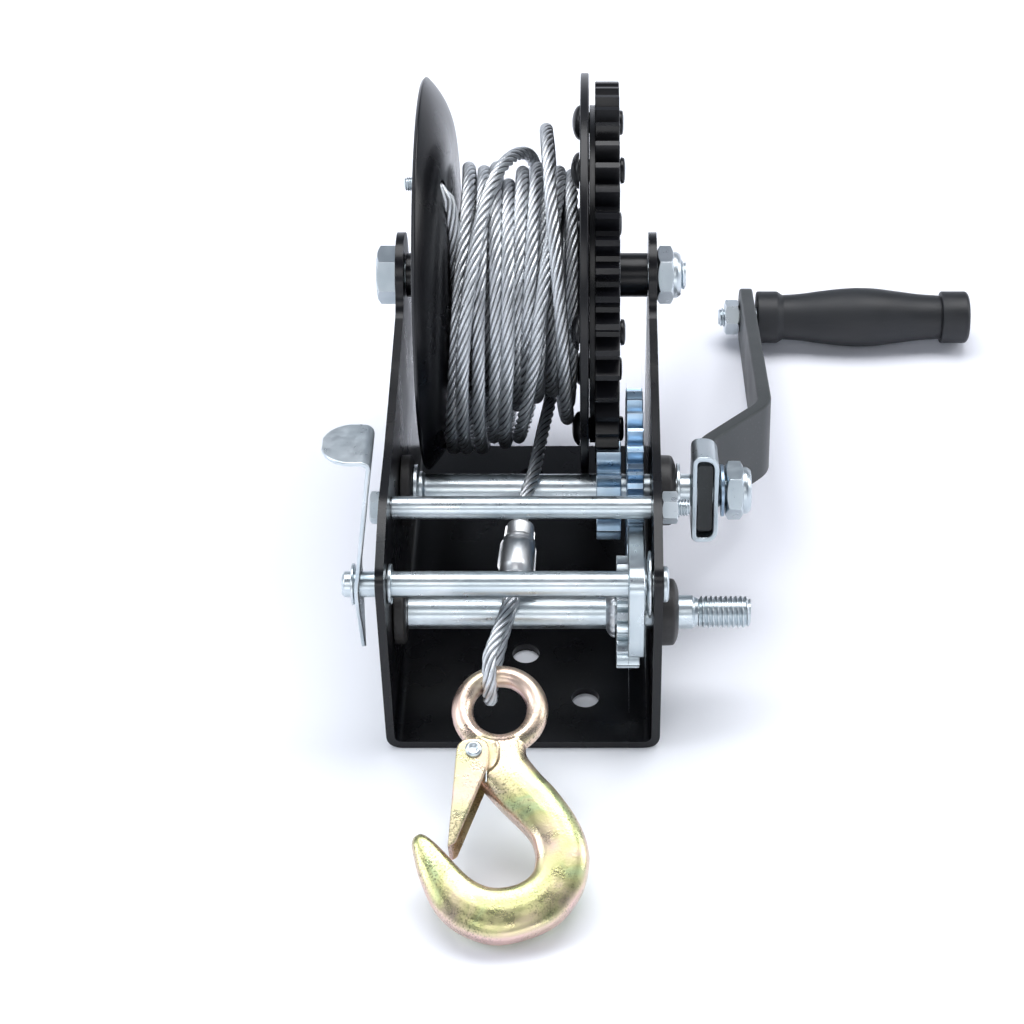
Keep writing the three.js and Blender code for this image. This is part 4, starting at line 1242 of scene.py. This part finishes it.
def crank_arm():
    """A flat bar bent outwards twice, wide at the hub and narrowing to a round end at the grip."""
    start, end_half, half = -7.0, 12.2, 15.0
    end = CRANK_LENGTH + 12.5
    middle = BAR / 2
    line = rounded([
        [CRANK_START + middle, start], [CRANK_START + middle, 11.4, 6], [ARM_END + middle, 46.9, 6],
        [ARM_END + middle, end - end_half],
    ], closed=False, steps=12)
    line = dense(line, 3)
    tip = [Vector((ARM_END + middle, end - end_half + end_half * math.sin(a)))
           for a in np.linspace(0.08, 1.5, 14)]

    def half_width(point):
        if point.y <= 60:
            near_start = max(0.0, start + 2 - point.y)
            return half - near_start
        if point.y <= end - 20:
            return half + (end_half - half) * (point.y - 60) / (end - 80)
        beyond = max(0.0, point.y - (end - end_half))
        return math.sqrt(max(0.2, end_half**2 - beyond**2))

    bar = bent_bar(line + tip, half_width, BAR, 0.9)
    return boolean(bar, cylinder(50, 110, 6.2), moved(cylinder(50, 110, 4.3), TO_GRIP))


def add_crank():
    wall, length = 1.9, 17.0
    left = CRANK_START - GAP
    right, half = left + BAR + 2 * GAP, 15.3
    outside = rounded([
        [left - wall, -half - wall, 3.2], [right + wall, -half - wall, 5.2], [right + wall, half + wall, 5.2],
        [left - wall, half + wall, 3.2],
    ], steps=10)
    inside = rounded([
        [left, -half, 1.6], [left, half, 1.6], [right, half, 3.4], [right, -half, 3.4],
    ], steps=8)
    loop = moved(plate([outside, inside], -length / 2, length / 2, 0.4, 2), ALONG_Y)
    piece("crank_sleeve", boolean(loop, cylinder(50, 90, 6.1)), CRANK_PLACE)
    piece("crank_arm", crank_arm(), CRANK_PLACE)

    at_grip = CRANK_PLACE @ TO_GRIP
    low, high = ends("grip_bolt")
    head = hexed(10.5, high - 5.5, high, chamfer_low=False)
    piece("grip_bolt", fused(head, cylinder(86, high - 5, 4)), at_grip)
    add_thread("grip_bolt", "grip_bolt_thread", at_grip, low, 87, *M8)
    piece("grip_nut", hexed(13, *ends("grip_nut"), 4.1), at_grip)
    piece("crank_grip", grip_mesh(), at_grip)


def grip_mesh():
    """A turned grip: a collar at each end and a belly between, with the bolt's head sunk in its outer end."""
    start, end = ends("crank_grip")
    collar, bore, recess = 11.1, 4.3, 7.5
    belly = [
        (start + 11.4, 9.55), (start + 18, 10.0), (start + 28, 11.3), (start + 36, 12.2), (start + 43, 12.6),
        (start + 50, 12.4), (start + 60, 11.2), (start + 70, 9.9), (end - 12.6, 9.35),
    ]
    xs, radii = (np.array(column) for column in zip(*belly))
    wanted = np.linspace(xs[0], xs[-1], 36)
    curve = zip(wanted, eased(xs, radii, wanted))
    profile = [
        [start, bore, 0.3], [start, collar, 0.8], [start + 8.8, collar, 0.6], [start + 10.8, 9.7, 0.7],
        *curve,
        [end - 12.5, 9.0, 0.2], [end - 12.1, 9.0, 0.2], [end - 12.0, collar, 0.8], [end - 1.0, collar, 0.9],
        [end, collar - 1.6, 0.6], [end, recess, 0.5], [end - 8.3, recess, 0.4], [end - 8.3, bore, 0.2],
    ]
    return lathe(profile, 96, closed=True)


# ---- lower drive shaft ----
def add_lower_shaft():
    low, high = ends("lower_shaft")
    shoulder = -40.7
    smooth = lathe([
        [low, 0], [low, 5, 0.4], [shoulder, 5], [shoulder, 6, 0.4], [60, 6, 0.5], [60.6, 5.3, 0.2],
        [61.8, 5.0], [61.8, 0],
    ], 72)
    piece("lower_shaft", smooth, LOWER)
    add_thread("lower_shaft", "lower_shaft_thread", LOWER, 61.5, high, 5.75, 1.75)
    gear("lower_pinion", LOWER, 2.5, 14, angle_between(UPPER, LOWER) + math.pi + math.pi / 14, 0.35)
    add_weld(32.7)


def add_weld(face):
    """A lumpy bead between the shaft and the lower gear's face."""
    bead = lathe([
        [face - 3.4, 5.9], [face - 2.6, 7.6, 0.8], [face - 1.4, 9.0, 0.8], [face - 0.1, 9.1, 0.3],
        [face - 0.1, 5.9],
    ], 96, closed=True)
    rng = random.Random(3)
    phases = [rng.uniform(0, FULL_TURN) for _ in range(4)]
    for vertex in bead.vertices:
        angle = math.atan2(vertex.co.z, vertex.co.y)
        reach = math.hypot(vertex.co.y, vertex.co.z)
        lump = sum(math.sin(count * angle + phase) for count, phase in zip((17, 5, 29, 11), phases)) * 0.14
        grow = 1 + lump * max(0.0, (reach - 6.2)) / 3.2 / 6
        vertex.co.y *= grow
        vertex.co.z *= grow
    piece("lower_shaft", bead, LOWER, name="lower_gear_weld", material=WELD, replaces=False, weighted=False,
          sharp=60)


# ---- ratchet ----
def add_ratchet():
    """The pawl and the lever on their shaft, with the washers beside them."""
    low, high = ends("pawl_shaft")
    head_face = PLATE_OUTER + GAP
    shaft = lathe([
        [low, 0], [low, 3.7, 0.2], [low + 0.9, 4.5, 0.2], [head_face, 4.5], [head_face, 6.2, 0.3],
        [head_face + 1.4, 6.2, 0.4], [high, 5.2, 0.3], [high - 0.3, 0],
    ], 64)
    piece("pawl_shaft", shaft, PAWL)

    arms = rounded([
        [-2, 7.6, 3.4], [14, 5.6, 6], [27.2, 3.6, 2], [29.4, 1.2, 1], [26.8, -2.6, 2], [12, -4.6, 5],
        [2.5, -7.5, 5], [-4.2, -12.5, 4], [-6.4, -22.5, 3], [-6.2, -27, 0.8], [-8.4, -27, 1.2],
        [-10, -20.5, 5], [-9.4, -10, 5], [-7.6, 4, 3.4],
    ], steps=8)
    piece("pawl", moved(plate([arms, circle(4.7)], *ends("pawl"), 0.55, 2), ACROSS_X), PAWL)
    wave = lathe([
        [43.1, PAWL_HOLE, 0.1], [43.1, 7.8, 0.4], [43.9, 11.5, 0.2], [44.7, 11.5, 0.2], [45.1, 8.4, 0.4],
        [45.2, PAWL_HOLE, 0.1],
    ], 72, closed=True)
    piece("pawl_wave_washer", wave, PAWL)
    add_ring("pawl_ring", PAWL, PAWL_HOLE, 7.0)
    low, high = ends("lever_push_washer")
    dome = lathe([
        [high - 0.5, PAWL_HOLE, 0.1], [low + 0.1, 6.0, 0.3], [low + 0.3, 7.2, 0.15], [high, 7.2, 0.15],
        [high - 0.3, 6.0, 0.3], [high, PAWL_HOLE, 0.1],
    ], 72, closed=True)
    piece("lever_push_washer", dome, PAWL)
    piece("ratchet_lever", lever_mesh(), PAWL)


def lever_mesh():
    """A pressed lever: a pointed tail, a waist above the pivot, and a thumb tab bent outwards at its top."""
    thick, height, tail, tab_half = 1.6, 61.5, -28.5, 10.5
    pivot_x, top_x, tab_x = -55.4, -47.6, -63.6
    tab_height = height - thick / 2
    line = rounded([
        [pivot_x, tail], [pivot_x, 4, 3], [top_x, tab_height, 3.4], [tab_x + 0.2, tab_height],
    ], closed=False, steps=10)
    widths = [
        (tail, 0.7), (-12, 5.6), (-3, 8.2), (4, 8.2), (14, 6.9), (26, 6.4), (44, 8.4), (58, 10.2),
        (62, tab_half),
    ]
    heights, reaches = (np.array(column, float) for column in zip(*widths))

    def half_width(point):
        reach = float(eased(heights, reaches, np.array([min(point.y, 61.9)]))[0])
        if point.y < height - 4:
            return reach
        past = max(0.0, tab_x + 10.2 - point.x)
        return min(reach, math.sqrt(max(0.3, tab_half**2 - past**2)))

    bar = bent_bar(dense(line, 1.2), half_width, thick, 0.55)
    return boolean(moved(bar, ALONG_Y), cylinder(-70, -45, 4.7))


# ---- floor and light ----
def add_floor():
    """A plain floor, whose far parts glow faintly because the lights stand only round the winch."""
    mesh = mesh_from([(-3, -3, 0), (3, -3, 0), (3, 3, 0), (-3, 3, 0)], [[0, 1, 2, 3]])
    floor = linked("floor", mesh)
    floor.location.z = -0.0002
    material, tree, shader = shader_for("floor")
    cloud = noise(tree, 2.2, 2)
    base = mixed(tree, ranged(tree, cloud, 0.35, 0.65), (0.90, 0.91, 0.98), (0.93, 0.95, 0.99))
    tree.links.new(base, shader.inputs["Base Color"])
    shader.inputs["Roughness"].default_value = 0.55
    shader.inputs["Specular IOR Level"].default_value = 0.2
    place = add_node(tree, "ShaderNodeTexCoord").outputs["Object"]
    far = ranged(tree, vector_value(tree, "LENGTH", place), 0.45, 1.6, 0.0, 0.55)
    shader.inputs["Emission Color"].default_value = (0.90, 0.92, 1.0, 1)
    tree.links.new(far, shader.inputs["Emission Strength"])
    floor.data.materials.append(material)


def add_area_light(name, place, target, size, power, colour=(1, 1, 1)):
    data = bpy.data.lights.new(name, "AREA")
    data.shape = "RECTANGLE"
    data.size, data.size_y = size
    data.energy = power
    data.color = colour
    light = linked(name, data)
    light.location = place
    light.rotation_euler = (Vector(target) - Vector(place)).to_track_quat("-Z", "Y").to_euler()


def add_world():
    """A studio that is pale near the floor and dim higher up, so that bright metal shows bands."""
    world = bpy.data.worlds.new("studio")
    world.use_nodes = True
    bpy.context.scene.world = world
    tree = world.node_tree
    direction = add_node(tree, "ShaderNodeTexCoord").outputs["Generated"]
    height = add_node(tree, "ShaderNodeSeparateXYZ", {"Vector": direction}).outputs["Z"]
    sky = ramp(
        tree, height, (0.0, (0.90, 0.92, 0.99)), (0.12, (0.82, 0.86, 0.94)), (0.34, (0.40, 0.44, 0.51)),
        (0.62, (0.16, 0.18, 0.22)), (1.0, (0.12, 0.13, 0.16)),
    )
    tree.links.new(sky, tree.nodes["Background"].inputs["Color"])
    tree.nodes["Background"].inputs["Strength"].default_value = 1.0


add_camera()
ropes = add_free_rope()
add_ferrule()
add_hook()
add_winding()
add_fixed_pieces()
add_drum()
add_upper_shaft()
add_crank()
add_lower_shaft()
add_ratchet()
add_floor()
add_world()
add_area_light("overhead", (0.05, 0.35, 1.3), (0.03, 0.02, 0.08), (1.3, 0.8), 17, (0.97, 0.98, 1.0))
add_area_light("left_box", (-1.1, -0.2, 0.8), (0, 0, 0.08), (0.6, 1.0), 8, (0.90, 0.95, 1.0))
add_area_light("right_box", (1.2, 0.2, 0.8), (0.05, 0, 0.08), (0.6, 0.9), 6)
add_area_light("front_box", (0.1, -1.2, 0.25), (0.02, 0, 0.06), (1.2, 0.3), 1.8)
add_area_light("camera_box", (-0.15, -1.1, 1.15), (0.02, 0, 0.08), (0.7, 0.5), 3)
bpy.context.scene.view_settings.view_transform = "Standard"
